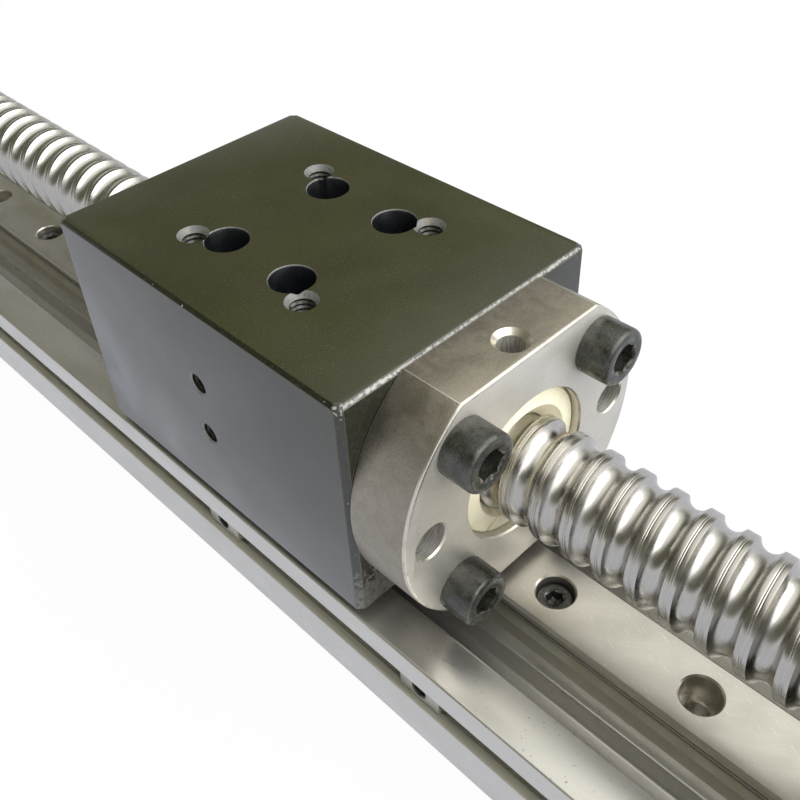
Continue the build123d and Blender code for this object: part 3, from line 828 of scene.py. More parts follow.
# Hardened steel, its faces ground and lapped: even satin grey with the faintest cloud
TURNED_STEEL = Finish(
    "ground_nut_steel",
    "#d9d6cd",
    metallic=0.85,
    roughness=(0.46, 0.54),
    uneven=Pattern(6.0),
    layers=(
        Layer("#cbc8be", 0.5, Pattern(0.3, low=0.4, high=0.7)),
        Layer("#c6c2b7", 0.5, Pattern(10.0, low=0.45, high=0.75, detail=3.0)),
        Layer("#d8d4c8", 0.5, Pattern(0.35, low=0.77, high=0.8, detail=0.0)),
    ),
    relief=(Pattern(0.25), 0.0015),
)

# The flats and the rim of the nut's flange, blasted: warm taupe with an even grain
BLASTED_STEEL = Finish(
    "blasted_steel",
    "#aaa497",
    metallic=1.0,
    roughness=(0.44, 0.54),
    uneven=Pattern(2.0),
    layers=(
        Layer("#938c7e", 0.6, Pattern(0.3, low=0.4, high=0.65)),
        Layer("#9b9487", 0.5, Pattern(7.0, detail=3.0)),
        Layer("#cfcabd", 0.3, Pattern(0.3, low=0.74, high=0.8, detail=0.0)),
    ),
    relief=(Pattern(0.25), 0.008),
)

# Chamfers cut last, bright from the tool
BRIGHT_CHAMFER = Finish(
    "bright_chamfer",
    "#d8d3c5",
    metallic=1.0,
    roughness=(0.3, 0.4),
    layers=(Layer("#b9b2a2", 0.7, Pattern(1.5, low=0.5, high=0.7)),),
)

# Drilled walls, with the drill's rings round them
DRILLED_STEEL = Finish(
    "drilled_steel",
    "#d3d1c9",
    metallic=0.6,
    roughness=(0.35, 0.5),
    layers=(Layer("#8f8c84", 0.7, Pattern(0.16, low=0.4, high=0.6, stretch=DRILLED)),),
    relief=(Pattern(0.16, stretch=DRILLED), 0.012),
)

# Polished bearing steel of the ball track: a mirror with fine lines left along the helix
LAPPED = Pattern(0.3, low=0.5, high=0.75, stretch=(1.0, 20.0, 20.0), layout=Layout.TRACK)
TRACK_STEEL = Finish(
    "polished_track_steel",
    "#f3f2f1",
    metallic=1.0,
    roughness=(0.04, 0.1),
    uneven=Pattern(0.5, stretch=(1.0, 12.0, 12.0), layout=Layout.TRACK),
    layers=(Layer("#cdccc8", 0.5, LAPPED),),
    relief=(Pattern(0.3, stretch=(1.0, 40.0, 40.0), layout=Layout.TRACK), 0.0008),
)

# Ground journals: even satin steel with fine rings
GROUND_STEEL = Finish(
    "ground_steel",
    "#c4c1bb",
    metallic=1.0,
    roughness=(0.22, 0.32),
    layers=(Layer("#b2afa8", 0.5, Pattern(0.12, layout=Layout.TURNED)),),
    relief=(Pattern(0.12, layout=Layout.TURNED), 0.0015),
)

# Ground rail: warm light grey, with slanting handling scratches and faint oil blotches
SCRATCH = Pattern(0.12, low=0.68, high=0.72, stretch=(22.0, 1.0, 1.0), turn=(0, 0, -20))
RAIL_STEEL = Finish(
    "ground_rail_steel",
    "#cecbc2",
    metallic=0.9,
    roughness=(0.28, 0.38),
    uneven=Pattern(5.0, detail=3.0),
    layers=(
        Layer("#c4c0b4", 0.35, Pattern(0.16, stretch=BRUSHED, turn=(0, 0, 34))),
        Layer("#ffffff", 0.8, SCRATCH),
        Layer("#b7b2a5", 0.5, Pattern(9.0, low=0.45, high=0.75, detail=3.0)),
    ),
    relief=(Pattern(0.14, stretch=BRUSHED, turn=(0, 0, 34)), 0.001),
)

# Black oxide on steel screws: near black and satin, a little browned, with grains of dust
BLACK_OXIDE = Finish(
    "black_oxide_steel",
    "#2b2c27",
    metallic=0.2,
    roughness=(0.22, 0.42),
    uneven=Pattern(0.9, detail=3.0),
    layers=(
        Layer("#43443d", 0.85, Pattern(1.6, low=0.42, high=0.66, detail=4.0)),
        Layer("#8f8e84", 0.35, Pattern(0.22, low=0.58, high=0.74)),
    ),
    relief=(Pattern(0.4, low=0.25, high=0.75, detail=3.0), 0.009),
    sockets=(("Specular IOR Level", 0.9),),
)

# Rim of the hexagon socket, rubbed bright by keys
RUBBED_RIM = Finish(
    "rubbed_socket_rim",
    "#74726a",
    metallic=0.5,
    roughness=(0.3, 0.4),
    layers=(Layer("#2f2f2b", 0.95, Pattern(0.7, low=0.36, high=0.56, detail=3.0)),),
)

# Natural nylon: cream, slightly waxy, soft inside
NATURAL_NYLON = Finish(
    "natural_nylon",
    "#fff5d8",
    roughness=(0.38, 0.5),
    layers=(Layer("#efe9cd", 0.6, Pattern(3.0, low=0.5, high=0.75)),),
    relief=(Pattern(0.6), 0.004),
    sockets=(("Subsurface Weight", 0.3), ("Subsurface Scale", 0.0015)),
)

# Moulded black plastic of the rail carriage's ends, with a fine mould grain
MOULDED_PLASTIC = Finish(
    "moulded_black_plastic",
    "#232323",
    layers=(Layer("#2c2c2b", 0.5, Pattern(4.0)),),
    relief=(Pattern(0.3), 0.006),
)

# Nitrile rubber of the seals: dull black
NITRILE_RUBBER = Finish(
    "nitrile_rubber",
    "#1b1b1b",
    roughness=(0.6, 0.75),
    layers=(Layer("#262625", 0.6, Pattern(3.0)),),
    relief=(Pattern(0.25), 0.008),
)

# Nickel plating on the slot nuts: slightly yellow satin
NICKEL_PLATE = Finish(
    "nickel_plate",
    "#b3b1a7",
    metallic=0.7,
    roughness=(0.3, 0.42),
    layers=(Layer("#a5a298", 0.6, Pattern(1.2)),),
    relief=(Pattern(0.3), 0.004),
)


def deliver(
    solid: Solid, name: str, body: str, finishes: list[Finish], node: str
) -> None:
    """Makes a finished piece of a solid.

    Args:
        solid: The solid in millimetres.
        name: The piece's name.
        body: The body that it moves with.
        finishes: The finishes that its faces are numbered by.
        node: The model's node that it stands for.
    """
    piece = solid.to_object(name, [finish.material() for finish in finishes])
    dress(piece, body, node)


def dress(piece: bpy.types.Object, body: str, node: str) -> None:
    """Scales a piece's mesh to metres, sets its shading, parents it to its body and hides its node.

    Args:
        piece: The piece, its mesh in millimetres.
        body: The body that it moves with.
        node: The model's node that it stands for.
    """
    piece.data.transform(Matrix.Scale(MM, 4))
    piece.data.shade_smooth()
    piece.data.set_sharp_from_angle(angle=SMOOTH_ANGLE)
    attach(piece, body)
    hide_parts(node)
    log.info("%s: %d faces on %s, for %s", piece.name, len(piece.data.polygons), body, node)


@dataclass(frozen=True)
class CapScrew:
    """A socket head cap screw.

    Attributes:
        thread: Radius of its thread.
        head: Radius of its head.
        height: Height of its head.
        flats: Width of its hexagon across flats.
        length: Length of its thread.
        edge: Radius of the head's top edge.
        foot_edge: Radius of the edge under the head.
        socket_share: Depth of the socket as a share of the head's height.
        mouth_gap: How far the cone at the socket's mouth reaches past the hexagon's corners.
        mouth_slope: How steep that cone is.
        segments: Faces round it.
    """

    thread: float
    head: float
    height: float
    flats: float
    length: float
    edge: float
    foot_edge: float = 0.15
    socket_share: float = 0.55
    mouth_gap: float = 0.12
    mouth_slope: float = 0.8
    segments: int = 48

    def hexagon(self, floor: float, mouth: float | None = None) -> Ring:
        """Ring of points on the hexagon.

        Args:
            floor: Height of the ring, where it is level.
            mouth: Radius of the cone that the ring follows instead, from the head's top.

        Returns:
            The ring.
        """
        points = []
        for i in range(self.segments):
            angle = FULL_TURN * i / self.segments
            from_flat = (angle + math.pi / 6) % (math.pi / 3) - math.pi / 6
            radius = self.flats / 2 / math.cos(from_flat)
            z = self.height - (mouth - radius) * self.mouth_slope if mouth else floor
            points.append(polar(Matrix(), radius, angle, z))
        return points

    def solid(self) -> Solid:
        """The screw on its seat at the origin, its head above and its thread below.

        Returns:
            The solid, with finish 1 on the socket's rim.
        """
        mouth = self.flats / 2 / math.cos(math.pi / 6) + self.mouth_gap
        floor = self.height * (1 - self.socket_share)
        under = self.thread * 0.12
        outside = [
            (-self.length, 0.0),
            (-self.length, self.thread * 0.8),
            (-self.length + self.thread * 0.2, self.thread),
            (-under, self.thread),
            (0.0, self.thread + under),
        ]
        levels = edge_levels(0, self.height, self.foot_edge, self.edge, 4)
        outside += [(z, self.head - inset) for z, inset in levels]
        rim = [(self.height, mouth + 0.1), (self.height - 0.05, mouth)]
        rings = [ring_of(Matrix(), radius, z, self.segments) for z, radius in outside + rim]
        rings += [self.hexagon(floor, mouth), self.hexagon(floor)]
        for z, radius in ((floor - 0.25, (self.flats / 2 + 0.15) * 0.8), (floor - 0.8, 0.0)):
            rings.append(ring_of(Matrix(), radius, z, self.segments))
        bands = [0] * len(outside) + [1, 1]
        return Solid().skin(rings, bands + [0] * (len(rings) - 1 - len(bands)))


class NodeRecipe:
    """A Geometry Nodes tree with named inputs, built once and run on one mesh at a time.

    Attributes:
        name: Name of the tree.
        inputs: Label and kind of each input.
    """

    name = ""
    inputs: dict[str, str] = {}

    def __init__(self) -> None:
        """Finds the tree, or builds it."""
        self.tree = bpy.data.node_groups.get(self.name)
        if self.tree is None:
            self.tree = bpy.data.node_groups.new(self.name, "GeometryNodeTree")
            sockets = self.tree.interface
            for label, kind in self.inputs.items():
                sockets.new_socket(label, in_out="INPUT", socket_type="NodeSocket" + kind)
            sockets.new_socket("Made", in_out="OUTPUT", socket_type="NodeSocketGeometry")
            self.draw()

    def draw(self) -> None:
        """Adds the tree's nodes."""
        raise NotImplementedError

    def run(self, name: str, start: bpy.types.Mesh, values: dict[str, Any]) -> bpy.types.Object:
        """Runs the tree.

        Args:
            name: Name of the object.
            start: The mesh that the tree is given.
            values: Values of its inputs by label.

        Returns:
            The object with the plain mesh that the tree made.
        """
        holder = add_object(name, start)
        modifier = holder.modifiers.new(self.name, "NODES")
        modifier.node_group = self.tree
        for item in self.tree.interface.items_tree:
            if item.in_out == "INPUT" and item.name in values:
                modifier[item.identifier] = values[item.name]
        finished = evaluated_mesh(holder)
        holder.modifiers.clear()
        holder.data = finished
        return holder


class ScrewPattern(NodeRecipe):
    """Geometry nodes that set one screw on each seat, each turned its own way about its axis."""

    name = "screws_on_seats"
    inputs = {
        "Seats": "Geometry",
        "Screw": "Object",
        "Direction": "Vector",
        "Largest spin": "Float",
        "Seed": "Int",
        "Finish": "Material",
        "Rim finish": "Material",
    }

    def draw(self) -> None:
        """Adds the nodes: a screw on each point, spun at random, and its finishes."""
        tree = self.tree
        given = add_node(tree, "NodeGroupInput").outputs
        master = add_node(tree, "GeometryNodeObjectInfo", {"Object": given["Screw"]})
        aim = add_node(
            tree, "FunctionNodeAlignRotationToVector", {"Vector": given["Direction"]}, axis="Z"
        )
        limits = {3: given["Largest spin"], 8: given["Seed"]}
        chance = add_node(tree, "FunctionNodeRandomValue", limits, data_type="FLOAT").outputs[1]
        about = {"Axis": (0.0, 0.0, 1.0), "Angle": chance}
        spin = add_node(tree, "FunctionNodeAxisAngleToRotation", about)
        both = {"Rotation": aim, "Rotate By": spin}
        turned = add_node(tree, "FunctionNodeRotateRotation", both, rotation_space="LOCAL")
        source = {"Instance": master.outputs["Geometry"], "Rotation": turned}
        placed = add_node(
            tree, "GeometryNodeInstanceOnPoints", {"Points": given["Seats"], **source}
        )
        real = add_node(tree, "GeometryNodeRealizeInstances", {"Geometry": placed})
        coat = {"Geometry": real, "Material": given["Finish"]}
        coated = add_node(tree, "GeometryNodeSetMaterial", coat)
        named = {"Name": "rim"}
        rim = add_node(tree, "GeometryNodeInputNamedAttribute", named, data_type="BOOLEAN")
        rub = {"Geometry": coated, "Selection": rim, "Material": given["Rim finish"]}
        add_node(tree, "NodeGroupOutput", {"Made": add_node(tree, "GeometryNodeSetMaterial", rub)})

    def fit(
        self,
        screw: CapScrew,
        seats: list[Vector],
        direction: Vector,
        seed: int,
        name: str,
        body: str,
        node: str,
    ) -> None:
        """Sets a screw on each seat, all of them one piece.

        Args:
            screw: The screw.
            seats: Where the underside of each head lies.
            direction: Which way the heads face.
            seed: Fixes how the hexagons stand.
            name: The piece's name.
            body: The body that it moves with.
            node: The model's node that it stands for.
        """
        master = screw.solid().to_object(name + "_master", [None, None])
        rims = [face.material_index == 1 for face in master.data.polygons]
        master.data.attributes.new("rim", "BOOLEAN", "FACE").data.foreach_set("value", rims)
        points = bpy.data.meshes.new(name)
        points.from_pydata(seats, [], [])
        values = {
            "Screw": master,
            "Direction": direction,
            "Largest spin": math.pi / 3,
            "Seed": seed,
            "Finish": BLACK_OXIDE.material(),
            "Rim finish": RUBBED_RIM.material(),
        }
        made = self.run(name, points, values)
        bpy.data.objects.remove(master)
        dress(made, body, node)


M3 = CapScrew(1.5, 2.75, 3.0, 2.5, 8.0, edge=0.35)
M4 = CapScrew(2.0, 3.5, 4.0, 3.0, 20.0, edge=0.45)
M5 = CapScrew(2.5, 4.25, 5.0, 4.0, 20.0, edge=0.75)


@dataclass(frozen=True)
class Hole:
    """A drilled or threaded hole, as the solid that cuts it.

    Attributes:
        radius: Radius of the hole.
        depth: How deep it goes.
        rim: Width of the chamfer at its mouth.
        rim_depth: Depth of that chamfer.
        thread: How far the thread is cut outwards, or 0 for a plain hole.
        pitch: Pitch of the thread.
        tip: Height of the drill's cone below it.
        wall: Number of the finish on its wall.
        segments: Faces round it.
    """

    radius: float
    depth: float
    rim: float = 0.2
    rim_depth: float = 0.2
    thread: float = 0.0
    pitch: float = 0.7
    tip: float = 0.0
    wall: int = 0
    segments: int = 48

    def add_to(self, cutter: Solid, seat: Matrix) -> None:
        """Adds the hole's cutter to a solid.

        Args:
            cutter: The solid.
            seat: Where the hole's mouth is; it goes down against the seat's Z.
        """
        wide = self.radius + self.rim
        profile = [(1.0, 0.0), (1.0, wide), (0.0, wide), (-self.rim_depth, self.radius)]
        turns = int((self.depth - self.rim_depth) / self.pitch) if self.thread else 0
        crest = ((0.12, 0.0), (0.5, self.thread), (0.62, self.thread), (1.0, 0.0))
        for turn in range(turns):
            top = -self.rim_depth - turn * self.pitch
            profile += [(top - share * self.pitch, self.radius + out) for share, out in crest]
        profile += [(-self.depth, self.radius), (-self.depth - self.tip, 0.0)]
        finishes = [self.wall, self.wall, 1] + [self.wall] * (len(profile) - 4)
        cutter.turn(profile, seat, self.segments, finishes)


@dataclass
class CarriageAssembly:
    """The block, the ball nut and the rail carriage, which travel together.

    Attributes:
        table_spacing: Spacing of the table's threads along and across.
        access_spacing: Spacing of the wells above the guide's screws, along and across.
        side_spacing: Spacing of the two threads in the near side.
        corner: Chamfer of the block's upright edges.
        block_edges: Chamfers round its foot and its top.
        pocket: Half the width and the depth of its pocket for the rail carriage.
        well: Radii of a well, at its mouth, in its wall and in the screw's hole below it.
        well_floor: Height of the well's floor.
        bolt_angles: Where the flange's holes with screws are, in degrees.
        open_angles: Where its empty holes are.
        oil_set_back: How far the nut's oil hole is behind its front.
        wiper_gap: Width of the slit in a wiper.
        lip_flare: Length over which a wiper's lip opens at its front.
        guide_roof: Height of the rail carriage's channel.
        guide_opening: Half its width.
    """

    body: str = "carriage"
    table_spacing: float = 25.0
    access_spacing: tuple[float, float] = (15.0, 20.0)
    side_spacing: float = 10.0
    corner: float = 0.9
    block_edges: tuple[float, float] = (0.3, 0.6)
    bore_radius: float = 14.05
    pocket: tuple[float, float] = (13.9, 2.5)
    well: tuple[float, float, float] = (3.52, 3.4, 1.7)
    well_floor: float = 25.5
    table_hole: Hole = Hole(1.85, 10.0, 0.62, 0.95, thread=0.28, pitch=0.8, tip=1.2, wall=2)
    side_hole: Hole = Hole(1.65, 8.0, 0.3, 0.3, thread=0.3, tip=0.9, wall=2)
    bolt_hole: Hole = Hole(2.52, 12.0, tip=1.4)
    flange_hole: Hole = Hole(2.75, 11.0, 0.25, 0.25, wall=3)
    oil_hole: Hole = Hole(1.9, 8.0, 0.75, 0.75, wall=3)
    bolt_circle: float = 38.0
    bolt_angles: tuple[float, ...] = (45.0, 135.0, 225.0, 315.0)
    open_angles: tuple[float, ...] = (0.0, 180.0)
    nut_body_radius: float = 14.0
    nut_bore_radius: float = 8.3
    insert_count: int = 4
    oil_set_back: float = 3.7
    wiper_gap: float = 1.1
    slit_angle: float = math.radians(236)
    lip_flare: float = 1.6
    lip_mouth: float = 8.95
    lip_levels: int = 14
    lip_steps: int = 120
    lip_clearance: float = 0.12
    guide_roof: float = 18.85
    guide_opening: float = 6.35

    def __post_init__(self) -> None:
        """Reads the places that follow from the frame."""
        self.middle_x = (BLOCK_LOW.x + BLOCK_HIGH.x) / 2
        self.nut_low, self.nut_high = node_box("ball_nut")
        self.nut_body_length = BLOCK_HIGH.x - self.nut_low.x

    def build(self) -> None:
        """Builds every piece of the assembly."""
        self.block()
        self.nut()
        self.wiper("wiper_front", "front_wiper", 11.8)
        self.wiper("wiper_rear", "rear_wiper", 11.0)
        seats = bolt_places(self.nut_high.x, self.bolt_circle, self.bolt_angles)
        ScrewPattern().fit(M5, seats, ALONG, 5, "nut_cap_screws", self.body, "nut_screws")
        self.guide("guide_body_ground", "guide_body", RAIL_STEEL, 0.0, "guide_body")
        caps, seals = "guide_end_caps", "guide_end_seals"
        self.guide("guide_caps_moulded", caps, MOULDED_PLASTIC, 0.3, "guide_body")
        self.guide("guide_seals_moulded", seals, NITRILE_RUBBER, 0.6, caps)
        seats = self.over_table(*self.access_spacing, self.well_floor)
        short, name = replace(M3, length=6.0), "guide_cap_screws"
        ScrewPattern().fit(short, seats, UP, 11, name, self.body, "guide_screws")

    def over_table(self, dx: float, dy: float, z: float) -> list[Vector]:
        """The corners of a rectangle about the block's middle, at a height."""
        return [Vector((self.middle_x + x, y, z)) for x, y in grid_places(dx, dy)]

    def block_outline(self, z: float, inset: float) -> Ring:
        """The block's outline at a height.

        Args:
            z: The height.
            inset: How far the outline is drawn in.

        Returns:
            Its eight points.
        """
        x0, x1 = BLOCK_LOW.x + inset, BLOCK_HIGH.x - inset
        y0, y1 = BLOCK_LOW.y + inset, BLOCK_HIGH.y - inset
        cut = self.corner
        return [
            Vector((x, y, z))
            for x, y in (
                (x0 + cut, y0), (x1 - cut, y0), (x1, y0 + cut), (x1, y1 - cut),
                (x1 - cut, y1), (x0 + cut, y1), (x0, y1 - cut), (x0, y0 + cut),
            )
        ]

    def block(self) -> None:
        """Milled block with its bore, pocket, wells and threads."""
        low, high = BLOCK_LOW, BLOCK_HIGH
        foot, top = self.block_edges
        levels = ((low.z, foot), (low.z + foot, 0), (high.z - top, 0), (high.z, top))
        block = Solid().skin([self.block_outline(*level) for level in levels], [0, 0, 4])
        for face in block.mesh.faces:
            if face.normal.z > 0.99:
                face.material_index = 0
            # The end above the nut takes the darker chamfer finish, as painted shade
            elif face.normal.x > 0.5:
                face.material_index = 4
            # The long sides take the lighter blue-grey finish, a painted reflection of the floor
            elif abs(face.normal.y) > 0.99:
                face.material_index = 5
        block.round_edges(0.08)
        length = high.x - low.x
        seat = across_screw(low.x)
        block.cut(Solid().turn(bar(-1, length + 1, self.bore_radius), seat))
        half, depth = self.pocket
        pocket = [(-half, -1.0), (half, -1.0), (half, depth), (-half, depth)]
        at_foot = Matrix.Translation((0, 0, low.z - SCREW_Z)) @ seat
        block.cut(Solid().extrude(pocket, at_foot, -1, length + 1))
        wells, cutter = Solid(), Solid()
        mouth, wall, hole = self.well
        floor, foot_z = self.well_floor, low.z + 2
        profile = [
            (high.z + 1, 0.0), (high.z + 1, mouth), (high.z, mouth), (high.z - 0.2, wall),
            (floor, wall), (floor, hole), (foot_z, hole), (foot_z, 0.0),
        ]
        # The wells' walls, floors and holes take the near-black finish: painted shade
        for place in self.over_table(*self.access_spacing, 0.0):
            wells.turn(profile, Matrix.Translation(place), 64, [0, 0, 1, 3, 3, 3, 3])
        for place in self.over_table(self.table_spacing, self.table_spacing, high.z):
            self.table_hole.add_to(cutter, Matrix.Translation(place))
        for z in (SCREW_Z - self.side_spacing / 2, SCREW_Z + self.side_spacing / 2):
            self.side_hole.add_to(cutter, facing(Vector((self.middle_x, low.y, z)), NEAR_SIDE))
        for place in bolt_places(high.x, self.bolt_circle, self.bolt_angles):
            self.bolt_hole.add_to(cutter, facing(place, ALONG))
        block.cut(wells).cut(cutter)
        finishes = [
            OLIVE_ANODISED, PALE_COUNTERSINK, CUT_THREAD, NEAR_BLACK_PAINTED_SHADE, OLIVE_CHAMFER_AND_PAINTED_SHADE, OLIVE_SIDE_PAINTED_REFLECTION,
        ]
        name, node = "carriage_block_milled", "carriage_block"
        deliver(block, name, self.body, finishes, node)

    def flange_ring(self, along: float, inset: float, steps: int = 40) -> Ring:
        """The outline of the nut's flange.

        Args:
            along: Where along X it is.
            inset: How far it is drawn in.
            steps: Faces in each of its two arcs.

        Returns:
            Its points.
        """
        radius = self.nut_high.y - inset
        half = math.asin((self.nut_high.z - SCREW_Z - inset) / radius)
        right = [-half + 2 * half * i / steps for i in range(steps + 1)]
        angles = right + [math.pi + angle for angle in right]
        return [polar(across_screw(along), radius, angle, 0.0) for angle in angles]

    def nut(self) -> None:
        """Ball nut: a flange with two flats, its body, bore, recess, bolt holes and oil hole."""
        front = self.nut_high.x
        length = front - self.nut_low.x
        seat = across_screw(self.nut_low.x)
        levels = edge_levels(BLOCK_HIGH.x, front, 0.25, 0.4, 2)
        nut = Solid().skin([self.flange_ring(*level) for level in levels], [1, 1, 2, 1, 1])
        for face in nut.mesh.faces:
            if abs(face.normal.x) > 0.99:
                face.material_index = 0
        nut.round_edges(0.06)
        into_flange = self.nut_body_length + 1
        levels = edge_levels(0, into_flange, 0.5, 0.0)
        body = [(x, self.nut_body_radius - inset) for x, inset in levels]
        nut.fuse(Solid().turn([(0, 0.0)] + body + [(into_flange, 0.0)], seat))
        bore = [
            (-1, 0.0), (-1, 11.05), (2.5, 11.05), (2.5, self.nut_bore_radius),
            (length - 3.8, self.nut_bore_radius), (length - 3.8, 11.85), (length - 0.25, 11.85),
            (length, 12.1), (length + 1, 12.1), (length + 1, 0.0),
        ]
        cutter = Solid().turn(bore, seat, finishes=[0] * 6 + [1] + [0] * 2)
        for place in bolt_places(front, self.bolt_circle, self.bolt_angles + self.open_angles):
            self.flange_hole.add_to(cutter, facing(place, ALONG))
        oil = Vector((front - self.oil_set_back, 0, self.nut_high.z))
        self.oil_hole.add_to(cutter, Matrix.Translation(oil))
        nut.cut(cutter)
        for index in range(self.insert_count):
            x = self.nut_low.x + self.nut_body_length * (index + 1) / (self.insert_count + 1)
            about = Matrix.Rotation(FULL_TURN * index / self.insert_count, 4, "Z")
            radial = across_screw(x) @ about @ Matrix.Rotation(math.pi / 2, 4, "Y")
            nut.cut(Solid().turn(bar(6.0, 16.0, 4.1), radial, 48, 3))
        finishes = [TURNED_STEEL, BRIGHT_CHAMFER, BLASTED_STEEL, DRILLED_STEEL]
        deliver(nut, "ball_nut_ground", self.body, finishes, "ball_nut")

    def wiper(self, name: str, node: str, radius: float) -> None:
        """Split nylon ring at an end of the nut, whose lip follows the track.

        Args:
            name: The piece's name.
            node: The node that it stands for.
            radius: Its outer radius.
        """
        low, high = node_box(node)
        half = self.wiper_gap / 2 / radius
        rings = []
        for step in range(self.lip_steps + 1):
            angle = self.slit_angle + half + (FULL_TURN - 2 * half) * step / self.lip_steps
            section = []
            for level in range(self.lip_levels + 1):
                x = low.x + (high.x - low.x) * level / self.lip_levels
                flare = max((x - high.x) / self.lip_flare + 1, 0.0)
                close = TRACK.radius(x, angle) + self.lip_clearance
                section.append((x, close + (self.lip_mouth - close) * flare))
            foot = (low.x, section[0][1], 0.0)
            section += rounded([(high.x, radius, 0.5), (low.x, radius, 0.2), foot], 3)[:-1]
            rings.append([polar(across_screw(0), r, angle, x) for x, r in section])
        deliver(Solid().skin(rings), name, self.body, [NATURAL_NYLON], node)

    def guide(
        self, name: str, node: str, finish: Finish, inset: float, inner: str
    ) -> None:
        """Part of the rail carriage: its body, or its two end caps or seals.

        Args:
            name: The piece's name.
            node: The node that it stands for.
            finish: Its finish.
            inset: How far its outline is drawn in from the body's.
            inner: The node that lies between its two halves, or the same node for the body.
        """
        low, high = node_box("guide_body")
        start, end = (corner.x for corner in node_box(node))
        half, opening = high.y - inset, self.guide_opening
        top, bottom, roof = high.z - inset, low.z + inset, self.guide_roof
        outline = rounded(
            [
                (opening, bottom, 0.0), (half, bottom, 0.3), (half, top, 0.6), (-half, top, 0.6),
                (-half, bottom, 0.3), (-opening, bottom, 0.0), (-opening, roof, 0.0),
                (opening, roof, 0.0),
            ]
        )
        thickness = node_box(inner)[0].x - start
        spans = [(start, end)]
        if thickness:
            spans = [(start, start + thickness), (end - thickness, end)]
        made = Solid()
        for span in spans:
            made.extrude(outline, Matrix.Translation((0, 0, -SCREW_Z)) @ across_screw(0), *span)
        deliver(made, name, self.body, [finish], node)


class TrackTree(NodeRecipe):
    """Geometry nodes that draw the threaded length of the ball screw.

    A grid is wound about the axis and sheared by one lead each turn, so that every grid line
    follows the helix and each point's radius depends only on its place in the track's section.

    Attributes:
        crowding: How much closer the grid's lines are at the lands than in the groove.
        grid_sums: The sums that size the grid: a result's name, an operation and its terms.
        point_sums: The sums that place each of its points.
    """

    name = "ball_track"
    inputs = {
        **dict.fromkeys(asdict(TRACK), "Float"),
        "start": "Float",
        "axis height": "Float",
        "leads": "Int",
        "steps in a lead": "Int",
        "steps round": "Int",
        "finish": "Material",
    }
    crowding = 1.4
    grid_sums = (
        ("cells", "MULTIPLY", "leads", "steps in a lead"),
        ("rows", "ADD", "cells", 1.0),
        ("columns", "ADD", "steps round", 1.0),
    )
    point_sums = (
        ("share", "ADD", "X", 0.5),
        ("turn", "ADD", "Y", 0.5),
        ("row", "MULTIPLY", "share", "leads"),
        ("in row", "FRACT", "row"),
        ("part", "SUBTRACT", "in row", 0.5),
        ("part squared", "MULTIPLY", "part", "part"),
        ("bend", "MULTIPLY", "part squared", crowding),
        ("spread", "SUBTRACT", 1 + crowding / 4, "bend"),
        ("spaced", "MULTIPLY", "part", "spread"),
        ("from middle", "MULTIPLY", "spaced", "lead"),
        ("whole rows", "FLOOR", "row"),
        ("middle row", "ADD", "whole rows", 0.5),
        ("turns", "ADD", "middle row", "turn"),
        ("advance", "MULTIPLY", "turns", "lead"),
        ("wound", "ADD", "advance", "from middle"),
        ("first land", "ADD", "start", "land_place"),
        ("along", "ADD", "first land", "wound"),
        ("arch squared", "MULTIPLY", "arch", "arch"),
        ("middle squared", "MULTIPLY", "from middle", "from middle"),
        ("drop squared", "SUBTRACT", "arch squared", "middle squared"),
        ("drop squared", "MAXIMUM", "drop squared", 0.0),
        ("drop", "SQRT", "drop squared"),
        ("rise", "SUBTRACT", "arch", "drop"),
        ("flank", "ADD", "root", "rise"),
        ("bare", "SMOOTH_MIN", "flank", "land", "shoulder"),
        ("half lead", "MULTIPLY", "lead", 0.5),
        ("off middle", "ABSOLUTE", "from middle"),
        ("from land", "SUBTRACT", "half lead", "off middle"),
        ("past line", "SUBTRACT", "from land", "line_place"),
        ("from line", "ABSOLUTE", "past line"),
        ("faded", "DIVIDE", "from line", "line_width"),
        ("line", "SUBTRACT", 1.0, "faded"),
        ("line", "MAXIMUM", "line", 0.0),
        ("line cut", "MULTIPLY", "line", "line_depth"),
        ("radius", "SUBTRACT", "bare", "line cut"),
        ("angle", "MULTIPLY", "turn", FULL_TURN),
        ("cosine", "COSINE", "angle"),
        ("sine", "SINE", "angle"),
        ("across", "MULTIPLY", "radius", "cosine"),
        ("above axis", "MULTIPLY", "radius", "sine"),
        ("height", "ADD", "axis height", "above axis"),
    )

    def work_out(self, sums: tuple[tuple[Any, ...], ...], known: dict[str, Socket]) -> None:
        """Adds one node for each sum.

        Args:
            sums: Name of the result, operation and terms of each, a term by name or value.
            known: Outputs by name, which the results join.
        """
        for result, operation, *terms in sums:
            values = [known[term] if isinstance(term, str) else term for term in terms]
            node = add_node(self.tree, "ShaderNodeMath", values, operation=operation)
            known[result] = node.outputs[0]

    def draw(self) -> None:
        """Adds the nodes: a grid, its place along and round the axis, and its radius there."""
        tree = self.tree
        known = dict(add_node(tree, "NodeGroupInput").outputs.items())
        self.work_out(self.grid_sums, known)
        size = {"Size X": 1.0, "Size Y": 1.0}
        counts = {"Vertices X": known["rows"], "Vertices Y": known["columns"]}
        grid = add_node(tree, "GeometryNodeMeshGrid", {**size, **counts})
        where = add_node(tree, "GeometryNodeInputPosition")
        known.update(add_node(tree, "ShaderNodeSeparateXYZ", (where,)).outputs.items())
        self.work_out(self.point_sums, known)
        place = [known[name] for name in ("along", "across", "height")]
        point = add_node(tree, "ShaderNodeCombineXYZ", place)
        moved = {"Geometry": grid.outputs[0], "Position": point}
        wound = add_node(tree, "GeometryNodeSetPosition", moved)
        close = {"Geometry": wound, "Distance": 0.001}
        merged = add_node(tree, "GeometryNodeMergeByDistance", close)
        real = add_node(tree, "GeometryNodeRealizeInstances", {"Geometry": merged})
        coat = {"Geometry": real, "Material": known["finish"]}
        add_node(tree, "NodeGroupOutput", {"Made": add_node(tree, "GeometryNodeSetMaterial", coat)})


